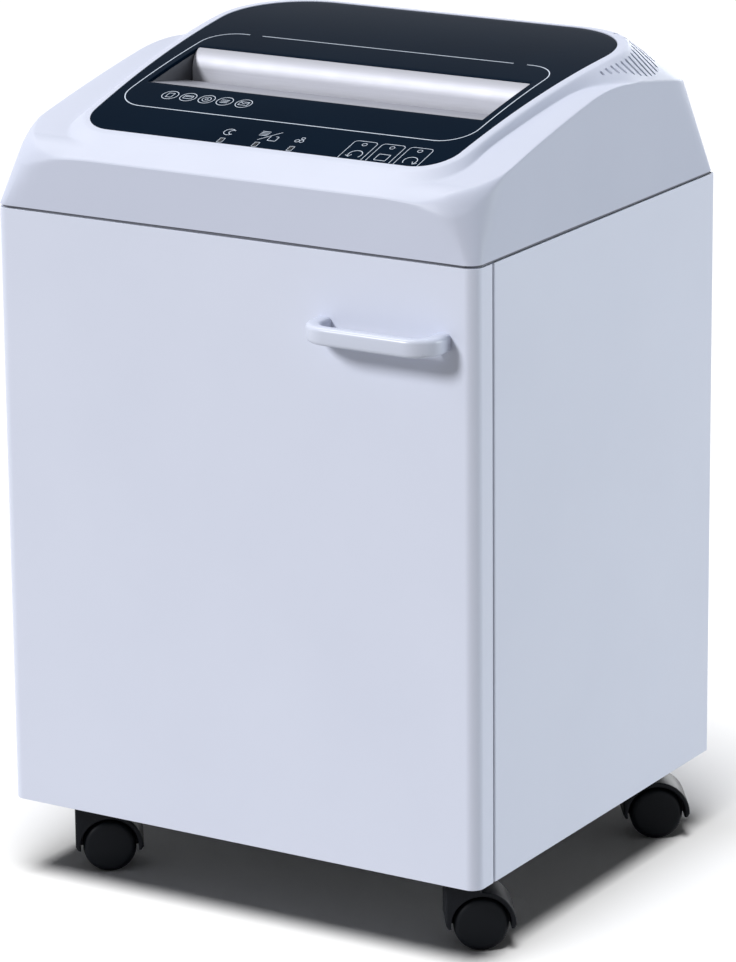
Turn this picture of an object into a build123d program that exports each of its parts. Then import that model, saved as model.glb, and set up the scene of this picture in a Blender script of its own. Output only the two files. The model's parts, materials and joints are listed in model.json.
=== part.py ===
from build123d import *
import math
import os

# Paper shredder on swivel casters. Millimetres, +Z up, front towards -Y.
# The origin is the plan centre of the cabinet at floor level.

# Overall sizes
THROAT_WIDTH = 262.0        # length of the cutter rollers
SIDE_ROOM = 69.0            # from a roller end to the cabinet side
CABINET_DEPTH = 353.5
CABINET_HEIGHT = 451.0
CABINET_BASE = 61.0         # lower edge of the cabinet above the floor
SHEET = 1.5                 # folded steel sheet
PLATE = 2.0                 # chassis and base plate
FLANGE = 14.0               # inward flanges of the cabinet
BACK_BEND = 4.0

# Clearances
FIT = 0.05                  # shaft in a hole, screw in a hole
SEAT = 0.1                  # piece set on another piece
GAP = 0.4                   # beside a moving piece

# Door and hinge
DOOR_RETURN = 23.0
DOOR_BEND = 9.5
DOOR_GAP = 2.2
HINGE_IN = 7.0              # pin axis from the side face
HINGE_BACK = 8.0            # pin axis from the front face
PIN_RADIUS = 2.5
BUSH_RADIUS = 4.0
BUSH_COLLAR = 5.0
COLLAR_HEIGHT = 1.2
TONGUE = 2.5                # thickness of the hinge tongue
TONGUE_RADIUS = 4.8
TONGUE_EDGE = 1.8           # edge of the tongue behind the pin axis
TONGUE_CLEAR = 17.5         # tongue root beyond the sweep of the door return
TONGUE_ROOT = 16.0
RAIL_DROP = 34.0
RAIL_DEPTH = 30.0
RIM_HEIGHT = 20.0

# Door handle
HANDLE_FROM_SIDE = 73.5
HANDLE_FROM_TOP = 53.5
HANDLE_PITCH = 96.0
HANDLE_REACH = 30.0
HANDLE_BAR = 9.0
HANDLE_HEIGHT = 13.0
HANDLE_POST = 12.0
HANDLE_CORNER = 20.0
HANDLE_ROUND = 3.0
SCREW_RADIUS = 2.0
SCREW_HEAD = 3.8
HEAD_HEIGHT = 2.4

# Latch and door switch
MAGNET_WIDTH = 44.0
MAGNET_HEIGHT = 14.0
MAGNET_FROM_SIDE = 100.0
SWITCH_FROM_SIDE = 36.0
SWITCH_SIZE = (20.0, 8.0, 16.0)
TAB = 2.0
TAB_HEIGHT = 9.0
TAB_REACH = 5.0
STRIKER = 2.0

# Waste bin
BIN_HEIGHT = 355.0
BIN_WALL = 2.5
BIN_TAPER = 6.0
BIN_CLEAR = 4.0
BIN_LIP = 4.0
GRIP_WIDTH = 100.0
GRIP_HEIGHT = 26.0
GRIP_DROP = 22.0

# Casters
WHEEL_RADIUS = 20.0
WHEEL_WIDTH = 13.6
WHEEL_ROUND = 4.5
WHEEL_INNER = 3.2           # inner wheel face from the middle of the hood
TRAIL = 14.0                # wheel axis behind the swivel axis
CASTER_YAW = 34.8
CASTER_FROM_SIDE = 39.4
CASTER_FROM_END = 43.6
AXLE_RADIUS = 3.0
STEM_RADIUS = 4.0
STEM_DEPTH = 16.0
HOOD_WIDTH = 35.0
HOOD_WALL = 3.7
WHEEL_CLEAR = 1.8
HOOD_DROP = 4.0             # top of the hood below the caster plate
WEB = 5.0
CASTER_PLATE = 2.5
CASTER_PLATE_SIZE = 38.0
BASE_RECESS = 3.0

# Lid, as offsets from the cabinet's top edge and its front and back faces
LID_GAP = 2.2
LID_WALL = 3.0
LID_RISE = 110.0
LID_SIDE_DRAFT = 0.0885
LID_FRONT_DRAFT = 0.103
LID_FRONT_CORNER = 0.72     # growth of the corner radius upwards
LID_BACK_CORNER = 0.51
BRIM_TOE = (-1.25, 33.5)    # from the front face, above the cabinet
BRIM_ROLL = (10.75, 45.2)
BRIM_START = (26.75, 51.3)
BRIM_END = (171.75, 83.6)
BRIM_CREST = (212.75, 87.8)
BRIM_FALL = (251.75, 84.4)
BRIM_TAIL = 68.4            # height where the brim leaves the back face
BOSS_RADIUS = 5.0
BOSS_FROM_SIDE = 22.0
BOSS_FROM_FRONT = 62.0
BOSS_FROM_BACK = 27.0
LID_SCREW_LENGTH = 12.0

# Control panel, an arc in the side view
PANEL_THICK = 2.5
PANEL_MID = 90.5            # height of the surface at the middle of the cabinet
PANEL_SLOPE = 9.75          # degrees, at the middle
PANEL_ARC = 1208.0
PANEL_FROM_FRONT = 35.25
PANEL_LENGTH = 278.5
PANEL_FRONT_SIDE = 48.9     # panel corner from the cabinet side
PANEL_BACK_SIDE = 32.3
PANEL_FRONT_CORNER = 28.0
PANEL_BACK_CORNER = 62.0
RIM = 6.0                   # rim of the lid round the panel
ISLAND_DEPTH = 62.0
LEDGE = 9.0
LEDGE_THICK = 2.5

# Louvres in the rear shoulders of the lid
LOUVRE_COUNT = 13
LOUVRE_PITCH = 6.9
LOUVRE_WIDTH = 2.4
LOUVRE_START = 47.0         # first slot behind the cabinet's middle
LOUVRE_MARGIN = 4.0         # upper end from the rim
LOUVRE_SHORT = 4.0          # length of the first slot, growing backwards
LOUVRE_GROWTH = 2.0
LOUVRE_SIDE = 9.0           # lower end from the cabinet side, at least
LOUVRE_DEPTH = 80.0         # foot of the slots above the cabinet

# Feed slot
SLOT_SIDE = 9.7             # slot end beyond the rollers
SLOT_FRONT = -64.5
SLOT_BACK = 5.0
SLOT_CORNER = 0.8
NIP_Y = -9.0
SLIT = 6.0
GUIDE = 2.0
GUIDE_BULGE = 15.0          # radius of the guide's upper face
GUIDE_CURVE = 14.0          # height of that face
GUIDE_TAIL = 5.0
GUIDE_FOOT = 57.0
LIP_FOOT = 69.5
LIP_TUCK = 11.0
CHEEK = 2.5

# Indicators on the panel: x, y of each window
WINDOW_SIZE = (3.6, 6.0)
WINDOW_MARGIN = 2.0         # from the panel's front edge
WINDOW_X = (-31.0, -2.0, 27.0)
LIGHT_WELL = 0.5            # ledge of the lid round the light well
TOUCH_BOARD = 1.6
TOUCH_BOARD_SIZE = (190.0, 32.0)
TOUCH_BOARD_X = 35.0

# Cutter head
ROLLER_HEIGHT = 34.0        # roller axes above the cabinet's top edge
ROLLER_PITCH = 30.0
DISC_RADIUS = 17.0
DISC_WIDTH = 5.6
DISC_PITCH = 11.9
CORE_RADIUS = 12.5
HOOK_COUNT = 3
HOOK_DEPTH = 2.6
HOOK_STEP = 17.0            # degrees from one disc to the next
JOURNAL_RADIUS = 7.0
ROLLER_END_PLAY = 2.0
SIDE_PLATE = 5.0
BEARING_RADIUS = 10.0
BEARING_FLANGE = 12.0
BEARING_LIP = 1.3
COMB_REACH = 0.8
COMB_FINGER = 4.4
COMB_HEIGHT = 10.0
COMB_BAR = 8.0
COMB_DEPTH = 11.0
ROD_RADIUS = 5.0
ROD_SPIGOT = 3.0
ROD_HEIGHT = 16.0
ROD_OUT = 12.0
PLATE_FRONT = -62.0
PLATE_TOP = 54.0
PLATE_EDGE = 32.0           # left side plate beyond the motor axis
PLATE_SHORT_REAR = 46.0
FOOT_WIDTH = 13.0
FOOT_THICK = 3.0
FOOT_LENGTH = 22.0

# Gears
PRESSURE_ANGLE = math.radians(25.0)
ADDENDUM = 0.8              # tooth height over the pitch circle, in modules
DEDENDUM = 1.0
BACKLASH = 0.18
TIMING_TEETH = 15
TIMING_MODULE = ROLLER_PITCH / TIMING_TEETH
DRIVE_TEETH = 60
DRIVE_MODULE = 1.5
CLUSTER_SMALL_TEETH = 16
CLUSTER_LARGE_TEETH = 48
PINION_TEETH = 12
FINE_MODULE = 1.25
CLUSTER_ANGLE = 20.0        # direction from the rear roller to the cluster gear
PINION_ANGLE = -12.0        # direction from the cluster gear to the motor
GEAR_WIDTH = 12.0
FINE_WIDTH = 8.0
GEAR_SIDE = 3.5             # timing gears outside the right side plate
DRIVE_SIDE = 7.0            # drive gear outside the left side plate
STUD_RADIUS = 5.0
STUD_SHOULDER = 8.0
LIGHTENING_HOLES = 6
LIGHTENING_RADIUS = 8.0
LIGHTENING_CIRCLE = 28.0

# Motor
MOTOR_RADIUS = 36.0
MOTOR_LENGTH = 125.0
MOTOR_WALL = 3.0
MOTOR_END = 8.0
SHAFT_RADIUS = 4.0
STATOR_BORE = 21.0
STATOR_LENGTH = 64.0
AIR_GAP = 0.4
RACE_RADIUS = 9.0
RACE_WIDTH = 6.0
FAN_RADIUS = 30.0
FAN_HUB = 8.0
FAN_WIDTH = 12.0
FAN_BLADES = 9
FAN_BLADE = 1.5
CRADLE_HALF = 26.0
CRADLE_HEIGHT = 24.0
CRADLE_WIDTH = 20.0

# Electrics
CAPACITOR_RADIUS = 17.5
CAPACITOR_LENGTH = 70.0
BOARD = 1.6
BOARD_SIZE = (110.0, 66.0)
BOARD_LIFT = 12.0
BOARD_MARGIN = 8.0
RELAY_SIZE = (20.0, 16.0, 15.0)
RELAY_PITCH = 24.0
STRIP_SIZE = (11.0, 11.0)
SINK_LENGTH = 34.0
FIN = 2.0
FIN_COUNT = 5
FIN_PITCH = 5.0
FIN_HEIGHT = 18.0
SMOOTHING_RADIUS = 8.0
PILLAR_RADIUS = 3.0
PILLAR_INSET = 6.0
SENSOR_SIZE = (12.0, 9.0, 12.0)
BIN_SENSOR_SIZE = (16.0, 10.0, 10.0)
POWER_RECESS = 6.0
POWER_OPENING = (90.0, 45.0)
POWER_LAP = 5.0
POWER_FROM_SIDE = 95.0
POWER_FROM_TOP = 34.5
INLET_SIZE = (27.5, 20.0)
INLET_BEZEL = 2.0
INLET_LAP = 2.0
INLET_DEPTH = 18.0
INLET_SHROUD = 1.8
INLET_OFFSET = -21.0
BLADE_SIZE = (2.0, 4.0, 11.0)
BLADE_SPREAD = 7.0
ROCKER_OFFSET = 22.0
ROCKER_SIZE = (17.0, 27.0)
ROCKER_FRAME = 2.5
ROCKER_RIM = 1.0
ROCKER_DEPTH = 14.0
ROCKER_TILT = 8.0
ROCKER_TIP = (6.0, 12.4)
ROCKER_DIP = 4.0
ROCKER_TAIL = (-3.0, 9.0)
ROCKER_PIN = 1.5

# Derived places
CABINET_WIDTH = THROAT_WIDTH + 2 * SIDE_ROOM
SIDE = CABINET_WIDTH / 2
FRONT = -CABINET_DEPTH / 2
BACK = CABINET_DEPTH / 2
TOP = CABINET_BASE + CABINET_HEIGHT
SHELL_FRONT = FRONT + DOOR_RETURN + DOOR_GAP
HINGE_X = -SIDE + HINGE_IN
HINGE_Y = FRONT + HINGE_BACK
RAIL_FRONT = SHELL_FRONT + SHEET
CHASSIS_TOP = TOP + PLATE
BASE_FLOOR = CABINET_BASE + BASE_RECESS
HANDLE_X = SIDE - HANDLE_FROM_SIDE
HANDLE_Z = TOP - HANDLE_FROM_TOP
LID_BASE = TOP + LID_GAP
PANEL_FRONT = FRONT + PANEL_FROM_FRONT
PANEL_BACK = PANEL_FRONT + PANEL_LENGTH
SLOT_HALF = THROAT_WIDTH / 2 + SLOT_SIDE
WINDOW_Y = PANEL_FRONT + WINDOW_MARGIN + WINDOW_SIZE[1] / 2
PLATE_INNER = THROAT_WIDTH / 2 + ROLLER_END_PLAY
PLATE_OUTER = PLATE_INNER + SIDE_PLATE
AXIS_Z = TOP + ROLLER_HEIGHT
FRONT_ROLLER_Y = NIP_Y - ROLLER_PITCH / 2
REAR_ROLLER_Y = NIP_Y + ROLLER_PITCH / 2
GEAR_INNER = PLATE_OUTER + GEAR_SIDE
DRIVE_X = -PLATE_OUTER - DRIVE_SIDE - GEAR_WIDTH    # outer face of the drive gear
SOLID_LOW = CABINET_BASE    # below every piece of the lid
POWER_X = SIDE - POWER_FROM_SIDE
POWER_Z = TOP - POWER_FROM_TOP
POWER_FACE = BACK - SHEET - POWER_RECESS
INLET_X = POWER_X + INLET_OFFSET
ROCKER_X = POWER_X + ROCKER_OFFSET
ROCKER_Y = POWER_FACE - ROCKER_FRAME / 2


def polar(y, z, radius, degrees):
    """Point at a distance and direction from (y, z)."""
    angle = math.radians(degrees)
    return y + radius * math.cos(angle), z + radius * math.sin(angle)


CLUSTER_PITCH = DRIVE_MODULE * (DRIVE_TEETH + CLUSTER_SMALL_TEETH) / 2
MOTOR_PITCH = FINE_MODULE * (CLUSTER_LARGE_TEETH + PINION_TEETH) / 2
CLUSTER_Y, CLUSTER_Z = polar(REAR_ROLLER_Y, AXIS_Z, CLUSTER_PITCH, CLUSTER_ANGLE)
MOTOR_Y, MOTOR_Z = polar(CLUSTER_Y, CLUSTER_Z, MOTOR_PITCH, PINION_ANGLE)
FINE_X = DRIVE_X - GEAR_SIDE    # inner face of the fine gears
PLATE_REAR = MOTOR_Y + PLATE_EDGE
MOTOR_FACE = -PLATE_INNER + SEAT
MOTOR_TAIL = MOTOR_FACE + MOTOR_LENGTH


def block(x0, x1, y0, y1, z0, z1):
    """Box between two opposite corners."""
    return Pos((x0 + x1) / 2, (y0 + y1) / 2, (z0 + z1) / 2) * Box(x1 - x0, y1 - y0, z1 - z0)


def rod_x(radius, x0, x1, y, z):
    """Cylinder along X."""
    return Pos((x0 + x1) / 2, y, z) * Rot(0, 90, 0) * Cylinder(radius, x1 - x0)


def motor_rod(radius, x0, x1):
    """Cylinder on the motor axis."""
    return rod_x(radius, x0, x1, MOTOR_Y, MOTOR_Z)


def stud_rod(radius, x0, x1):
    """Cylinder on the axis of the cluster gear."""
    return rod_x(radius, x0, x1, CLUSTER_Y, CLUSTER_Z)


def rod_y(radius, y0, y1, x, z):
    """Cylinder along Y."""
    return Pos(x, (y0 + y1) / 2, z) * Rot(90, 0, 0) * Cylinder(radius, y1 - y0)


def rod_z(radius, z0, z1, x, y):
    """Cylinder along Z."""
    return Pos(x, y, (z0 + z1) / 2) * Cylinder(radius, z1 - z0)


def along_x(profile, x0, x1):
    """Profile drawn in (y, z), carried from x0 to x1."""
    plane = Plane(origin=(x0, 0, 0), x_dir=(0, 1, 0), z_dir=(1, 0, 0))
    return extrude(plane * profile, x1 - x0, dir=(1, 0, 0))


def corners(dx, dy):
    """The four corners of a rectangle round the origin."""
    return [(sx * dx, sy * dy) for sx in (-1, 1) for sy in (-1, 1)]


def group(solids):
    """Separate solids kept together in one piece list."""
    return Compound(children=[solid for part in solids for solid in part.solids()])


def screw(x, y, z, length, way):
    """Pan-head screw along Z: the head's seat at z, the shank going the way given."""
    shank_end = z + way * length
    head_end = z - way * HEAD_HEIGHT
    shank = rod_z(SCREW_RADIUS, min(z, shank_end), max(z, shank_end), x, y)
    return shank + rod_z(SCREW_HEAD, min(z, head_end), max(z, head_end), x, y)


# Cabinet
def cabinet_shell():
    """Two sides and the back in one folded sheet, with inward flanges at the front and top."""
    shell = block(-SIDE, SIDE, SHELL_FRONT, BACK, CABINET_BASE, TOP)
    shell = fillet(shell.edges().filter_by(Axis.Z).group_by(Axis.Y)[-1], BACK_BEND)
    inside = SIDE - SHEET
    shell -= block(-inside, inside, RAIL_FRONT, BACK - SHEET, CABINET_BASE - PLATE, TOP - SHEET)
    mouth = inside - FLANGE
    shell -= block(-mouth, mouth, SHELL_FRONT - PLATE, BACK - SHEET - FLANGE,
                   CABINET_BASE - PLATE, TOP + PLATE)
    return shell - power_opening()


def hinge_tongue(z0):
    """Cranked tongue that reaches the hinge pin from the opening, clear of the door's swing."""
    z1 = z0 + TONGUE
    root = HINGE_X + TONGUE_CLEAR
    front = HINGE_Y - TONGUE_RADIUS
    tongue = block(root, root + TONGUE_ROOT, front, RAIL_FRONT, z0, z1)
    tongue += block(HINGE_X, root + TONGUE_ROOT, front, HINGE_Y + TONGUE_EDGE, z0, z1)
    tongue += rod_z(TONGUE_RADIUS, z0, z1, HINGE_X, HINGE_Y)
    return tongue - rod_z(PIN_RADIUS + FIT, z0 - TONGUE, z1 + TONGUE, HINGE_X, HINGE_Y)


COLLAR_TOP = TOP - SHEET - SEAT
COLLAR_FOOT = CABINET_BASE + SHEET + SEAT
UPPER_TONGUE = COLLAR_TOP - COLLAR_HEIGHT - GAP - TONGUE
LOWER_TONGUE = COLLAR_FOOT + COLLAR_HEIGHT + GAP


def top_rail():
    """Angle across the front opening; it carries the upper tongue, the catch and the door switch."""
    half = SIDE - SHEET - SEAT
    rail = block(-half, half, RAIL_FRONT, RAIL_FRONT + SHEET, TOP - RAIL_DROP, TOP - SHEET - SEAT)
    clear = half - FLANGE
    rail += block(-clear, clear, RAIL_FRONT, RAIL_FRONT + RAIL_DEPTH, TOP - SHEET, TOP - SEAT)
    rail += block(-clear, clear, RAIL_FRONT, RAIL_FRONT + SHEET, TOP - RAIL_DROP, TOP - SEAT)
    rail += hinge_tongue(UPPER_TONGUE)
    slot = TAB / 2 + 2 * GAP
    tab_x = SIDE - SWITCH_FROM_SIDE
    rail -= block(tab_x - slot, tab_x + slot, SHELL_FRONT - PLATE, RAIL_FRONT + 2 * SHEET,
                  SWITCH_Z - TAB_HEIGHT / 2 - 2 * GAP, SWITCH_Z + TAB_HEIGHT / 2 + 2 * GAP)
    return rail


def base_pan():
    """Floor of the cabinet with upturned rims and the lower hinge tongue."""
    half = SIDE - SHEET - SEAT
    back = BACK - SHEET - SEAT
    rim_top = BASE_FLOOR + PLATE + RIM_HEIGHT
    pan = block(-half, half, RAIL_FRONT, back, BASE_FLOOR, rim_top)
    pan -= block(-half + SHEET, half - SHEET, RAIL_FRONT + SHEET, back - SHEET,
                 BASE_FLOOR + PLATE, rim_top + PLATE)
    pan -= block(-half + FLANGE, half - FLANGE, RAIL_FRONT - PLATE, RAIL_FRONT + 2 * SHEET,
                 LOWER_TONGUE + TONGUE, rim_top + PLATE)
    return pan + hinge_tongue(LOWER_TONGUE)


def behind_back(x, dx, dz, y0, y1):
    """Block round x at the height of the power plate, between two depths."""
    return block(x - dx, x + dx, y0, y1, POWER_Z - dz, POWER_Z + dz)


def power_opening():
    """Rectangular opening in the back for the recessed power plate."""
    width, height = POWER_OPENING
    return behind_back(POWER_X, width / 2, height / 2, POWER_FACE, BACK + PLATE)


# Door
def door_panel():
    """Steel pan with rounded vertical corners, open towards the cabinet."""
    rear = FRONT + DOOR_RETURN
    pan = block(-SIDE, SIDE, FRONT, rear, CABINET_BASE, TOP)
    pan = fillet(pan.edges().filter_by(Axis.Z).group_by(Axis.Y)[0], DOOR_BEND)
    hollow = block(-SIDE + SHEET, SIDE - SHEET, FRONT + SHEET, rear + PLATE,
                   CABINET_BASE + SHEET, TOP - SHEET)
    hollow = fillet(hollow.edges().filter_by(Axis.Z).group_by(Axis.Y)[0], DOOR_BEND - SHEET)
    pan -= hollow
    pan -= rod_z(BUSH_RADIUS + FIT, CABINET_BASE - PLATE, TOP + PLATE, HINGE_X, HINGE_Y)
    for x in handle_posts():
        pan -= rod_y(SCREW_RADIUS + FIT, FRONT - PLATE, FRONT + PLATE, x, HANDLE_Z)
    return pan


def handle_posts():
    """X of the two handle posts."""
    return HANDLE_X - HANDLE_PITCH / 2, HANDLE_X + HANDLE_PITCH / 2


def door_handle():
    """Bow handle: a rounded bar on two posts, with blind screw holes from the door side."""
    half = (HANDLE_PITCH + HANDLE_POST) / 2
    z0 = HANDLE_Z - HANDLE_HEIGHT / 2
    z1 = HANDLE_Z + HANDLE_HEIGHT / 2
    bow = block(HANDLE_X - half, HANDLE_X + half, FRONT - HANDLE_REACH, FRONT, z0, z1)
    bow = fillet(bow.edges().filter_by(Axis.Z).group_by(Axis.Y)[0], HANDLE_CORNER)
    inner = half - HANDLE_POST
    gap = block(HANDLE_X - inner, HANDLE_X + inner, FRONT - HANDLE_REACH + HANDLE_BAR, FRONT + PLATE,
                z0 - PLATE, z1 + PLATE)
    gap = fillet(gap.edges().filter_by(Axis.Z).group_by(Axis.Y)[0], HANDLE_CORNER - HANDLE_BAR)
    bow -= gap
    rims = bow.edges().filter_by(lambda edge: abs(edge.center().Z - HANDLE_Z) > HANDLE_HEIGHT / 2 - SEAT)
    rims = rims.filter_by(lambda edge: edge.center().Y < FRONT - SEAT)
    bow = fillet(rims, HANDLE_ROUND)
    for x in handle_posts():
        bow -= rod_y(SCREW_RADIUS + FIT, FRONT - HANDLE_REACH / 2, FRONT + PLATE, x, HANDLE_Z)
    return bow


def handle_screws():
    """Two screws from inside the door into the handle posts."""
    seat = FRONT + SHEET
    screws = []
    for x in handle_posts():
        shank = rod_y(SCREW_RADIUS, FRONT - HANDLE_REACH / 2 + PLATE, seat, x, HANDLE_Z)
        screws.append(shank + rod_y(SCREW_HEAD, seat, seat + HEAD_HEIGHT, x, HANDLE_Z))
    return group(screws)


def hinge_pins():
    """Upper and lower pivot pins, held in the tongues."""
    upper = rod_z(PIN_RADIUS, UPPER_TONGUE - PLATE, TOP - GAP, HINGE_X, HINGE_Y)
    lower = rod_z(PIN_RADIUS, CABINET_BASE + GAP, LOWER_TONGUE + TONGUE + PLATE, HINGE_X, HINGE_Y)
    return group([upper, lower])


def hinge_bushes():
    """Collared plastic bushes in the door's upper and lower flanges."""
    bore = rod_z(PIN_RADIUS + FIT, CABINET_BASE, TOP, HINGE_X, HINGE_Y)
    upper = rod_z(BUSH_RADIUS, COLLAR_TOP - COLLAR_HEIGHT, TOP - GAP, HINGE_X, HINGE_Y)
    upper += rod_z(BUSH_COLLAR, COLLAR_TOP - COLLAR_HEIGHT, COLLAR_TOP, HINGE_X, HINGE_Y)
    lower = rod_z(BUSH_RADIUS, CABINET_BASE + GAP, COLLAR_FOOT + COLLAR_HEIGHT, HINGE_X, HINGE_Y)
    lower += rod_z(BUSH_COLLAR, COLLAR_FOOT, COLLAR_FOOT + COLLAR_HEIGHT, HINGE_X, HINGE_Y)
    return group([upper - bore, lower - bore])


MAGNET_X = SIDE - MAGNET_FROM_SIDE
MAGNET_Z = TOP - RAIL_DROP + MAGNET_HEIGHT / 2 + PLATE
SWITCH_Z = MAGNET_Z


def magnet_catch():
    """Magnet block on the rail, reaching forward into the door."""
    front = FRONT + SHEET + STRIKER + GAP
    catch = block(MAGNET_X - MAGNET_WIDTH / 2, MAGNET_X + MAGNET_WIDTH / 2, front, RAIL_FRONT,
                  MAGNET_Z - MAGNET_HEIGHT / 2, MAGNET_Z + MAGNET_HEIGHT / 2)
    groove = block(MAGNET_X - MAGNET_WIDTH / 2 - PLATE, MAGNET_X + MAGNET_WIDTH / 2 + PLATE,
                   front - PLATE, front + PLATE, MAGNET_Z - STRIKER, MAGNET_Z + STRIKER)
    return catch - groove


def door_striker():
    """Steel strip inside the door: the magnet holds it, and its folded finger works the switch."""
    left = MAGNET_X - MAGNET_WIDTH / 2 - STRIKER
    finger = SIDE - SWITCH_FROM_SIDE
    strip = block(left, finger + TAB / 2, FRONT + SHEET, FRONT + SHEET + STRIKER,
                  MAGNET_Z - MAGNET_HEIGHT / 2, MAGNET_Z + MAGNET_HEIGHT / 2)
    return strip + block(finger - TAB / 2, finger + TAB / 2, FRONT + SHEET, RAIL_FRONT + SHEET + TAB_REACH,
                         SWITCH_Z - TAB_HEIGHT / 2, SWITCH_Z + TAB_HEIGHT / 2)


def door_switch():
    """Switch body behind the rail, notched for the door's finger."""
    width, depth, height = SWITCH_SIZE
    x = SIDE - SWITCH_FROM_SIDE
    back = RAIL_FRONT + SHEET + TAB_REACH + depth
    body = block(x - width / 2, x + width / 2, RAIL_FRONT + SHEET, back,
                 SWITCH_Z - height / 2, SWITCH_Z + height / 2)
    slot = TAB / 2 + 2 * GAP
    return body - block(x - slot, x + slot, RAIL_FRONT, RAIL_FRONT + SHEET + TAB_REACH + 2 * GAP,
                        SWITCH_Z - TAB_HEIGHT / 2 - 2 * GAP, SWITCH_Z + TAB_HEIGHT / 2 + 2 * GAP)


# Waste bin
def bin_block(inset, z0, z1):
    """Tapered block of the bin, each wall moved in by inset."""
    half = SIDE - SHEET - FLANGE - BIN_CLEAR - BIN_LIP
    front = SHELL_FRONT + GAP + BIN_LIP
    back = BACK - SHEET - BIN_CLEAR - BIN_LIP
    foot = BASE_FLOOR + PLATE + SEAT
    sections = []
    for z in (z0, z1):
        narrow = inset + BIN_TAPER * (1 - (z - foot) / BIN_HEIGHT)
        sketch = RectangleRounded(2 * (half - narrow), back - front - 2 * narrow, 4 * BIN_TAPER - inset)
        sections.append(Pos(0, (front + back) / 2, z) * sketch)
    return loft(sections)


def waste_bin():
    """Lift-out bin with a turned rim and a grip cut in its front wall."""
    foot = BASE_FLOOR + PLATE + SEAT
    rim = foot + BIN_HEIGHT
    tub = bin_block(0, foot, rim) + bin_block(-BIN_LIP, rim - BIN_WALL, rim)
    tub -= bin_block(BIN_WALL, foot + BIN_WALL, rim + BIN_WALL)
    grip_z = rim - GRIP_DROP - GRIP_HEIGHT / 2
    return tub - block(-GRIP_WIDTH / 2, GRIP_WIDTH / 2, SHELL_FRONT - PLATE, SHELL_FRONT + GRIP_WIDTH,
                       grip_z - GRIP_HEIGHT / 2, grip_z + GRIP_HEIGHT / 2)


# Casters
def caster_places():
    """Swivel axes of the four casters: rear left, front left, rear right, front right."""
    dx = SIDE - CASTER_FROM_SIDE
    dy = CABINET_DEPTH / 2 - CASTER_FROM_END
    return [(-dx, dy), (-dx, -dy), (dx, dy), (dx, -dy)]


CASTER_NAMES = ("rear_left", "front_left", "rear_right", "front_right")
CASTER_TOP = BASE_FLOOR - CASTER_PLATE
HOOD_TOP = CASTER_TOP - HOOD_DROP


def caster_plates():
    """Four mounting plates, each with its swivel stem."""
    plates = []
    for x, y in caster_places():
        half = CASTER_PLATE_SIZE / 2
        plate = block(x - half, x + half, y - half, y + half, CASTER_TOP, BASE_FLOOR)
        plate += rod_z(STEM_RADIUS, HOOD_TOP - STEM_DEPTH + GAP, CASTER_TOP, x, y)
        plates.append(plate)
    return group(plates)


def caster_at(part, place):
    """Turn a caster piece to its rest direction and set it on its swivel axis."""
    x, y = place
    return Pos(x, y, 0) * Rot(0, 0, CASTER_YAW) * part


def caster_hood():
    """Hood over the twin wheels: an arch on a central web, with the stem socket in front."""
    reach = WHEEL_RADIUS + WHEEL_CLEAR + HOOD_WALL
    axle = WHEEL_RADIUS
    nose = TRAIL - reach
    tip = TRAIL + reach
    lean = math.sqrt(0.5) * reach
    edges = [
        ThreePointArc((tip, axle), (TRAIL + lean, axle + lean), (TRAIL, axle + reach)),
        Polyline((TRAIL, axle + reach), (STEM_RADIUS * 2, HOOD_TOP), (nose / 2, HOOD_TOP),
                 (nose, HOOD_TOP + nose / 2), (nose, axle), (nose + PLATE, axle - AXLE_RADIUS),
                 (tip - PLATE, axle - AXLE_RADIUS), (tip, axle)),
    ]
    plane = Plane(origin=(0, HOOD_WIDTH / 2, 0), x_dir=(1, 0, 0), z_dir=(0, -1, 0))
    hood = extrude(plane * make_face(edges), HOOD_WIDTH, dir=(0, -1, 0))
    hood += rod_y(AXLE_RADIUS * 2.5, -WEB / 2, WEB / 2, TRAIL, axle)
    for side in (-1, 1):
        inner = side * (WEB / 2)
        outer = side * HOOD_WIDTH
        hood -= rod_y(WHEEL_RADIUS + WHEEL_CLEAR, min(inner, outer), max(inner, outer), TRAIL, axle)
    hood -= rod_y(AXLE_RADIUS + FIT, -HOOD_WIDTH, HOOD_WIDTH, TRAIL, axle)
    return hood - rod_z(STEM_RADIUS + FIT, HOOD_TOP - STEM_DEPTH, HOOD_TOP + PLATE, 0, 0)


def caster_wheels():
    """Pair of wheels with rounded outer rims, on an axle that turns in the web."""
    half = WHEEL_INNER + WHEEL_WIDTH - WHEEL_ROUND - GAP
    wheels = [rod_y(AXLE_RADIUS, -half, half, TRAIL, WHEEL_RADIUS)]
    for side in (-1, 1):
        inner = side * WHEEL_INNER
        outer = side * (WHEEL_INNER + WHEEL_WIDTH)
        wheel = rod_y(WHEEL_RADIUS, min(inner, outer), max(inner, outer), TRAIL, WHEEL_RADIUS)
        rims = wheel.edges().filter_by(GeomType.CIRCLE).sort_by(Axis.Y)
        wheel = fillet(rims[-1] if side > 0 else rims[0], WHEEL_ROUND)
        hole = side * (WHEEL_INNER + WHEEL_WIDTH - WHEEL_ROUND)
        wheel -= rod_y(AXLE_RADIUS + FIT, min(0, hole), max(0, hole), TRAIL, WHEEL_RADIUS)
        wheels.append(wheel)
    return group(wheels)


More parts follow.
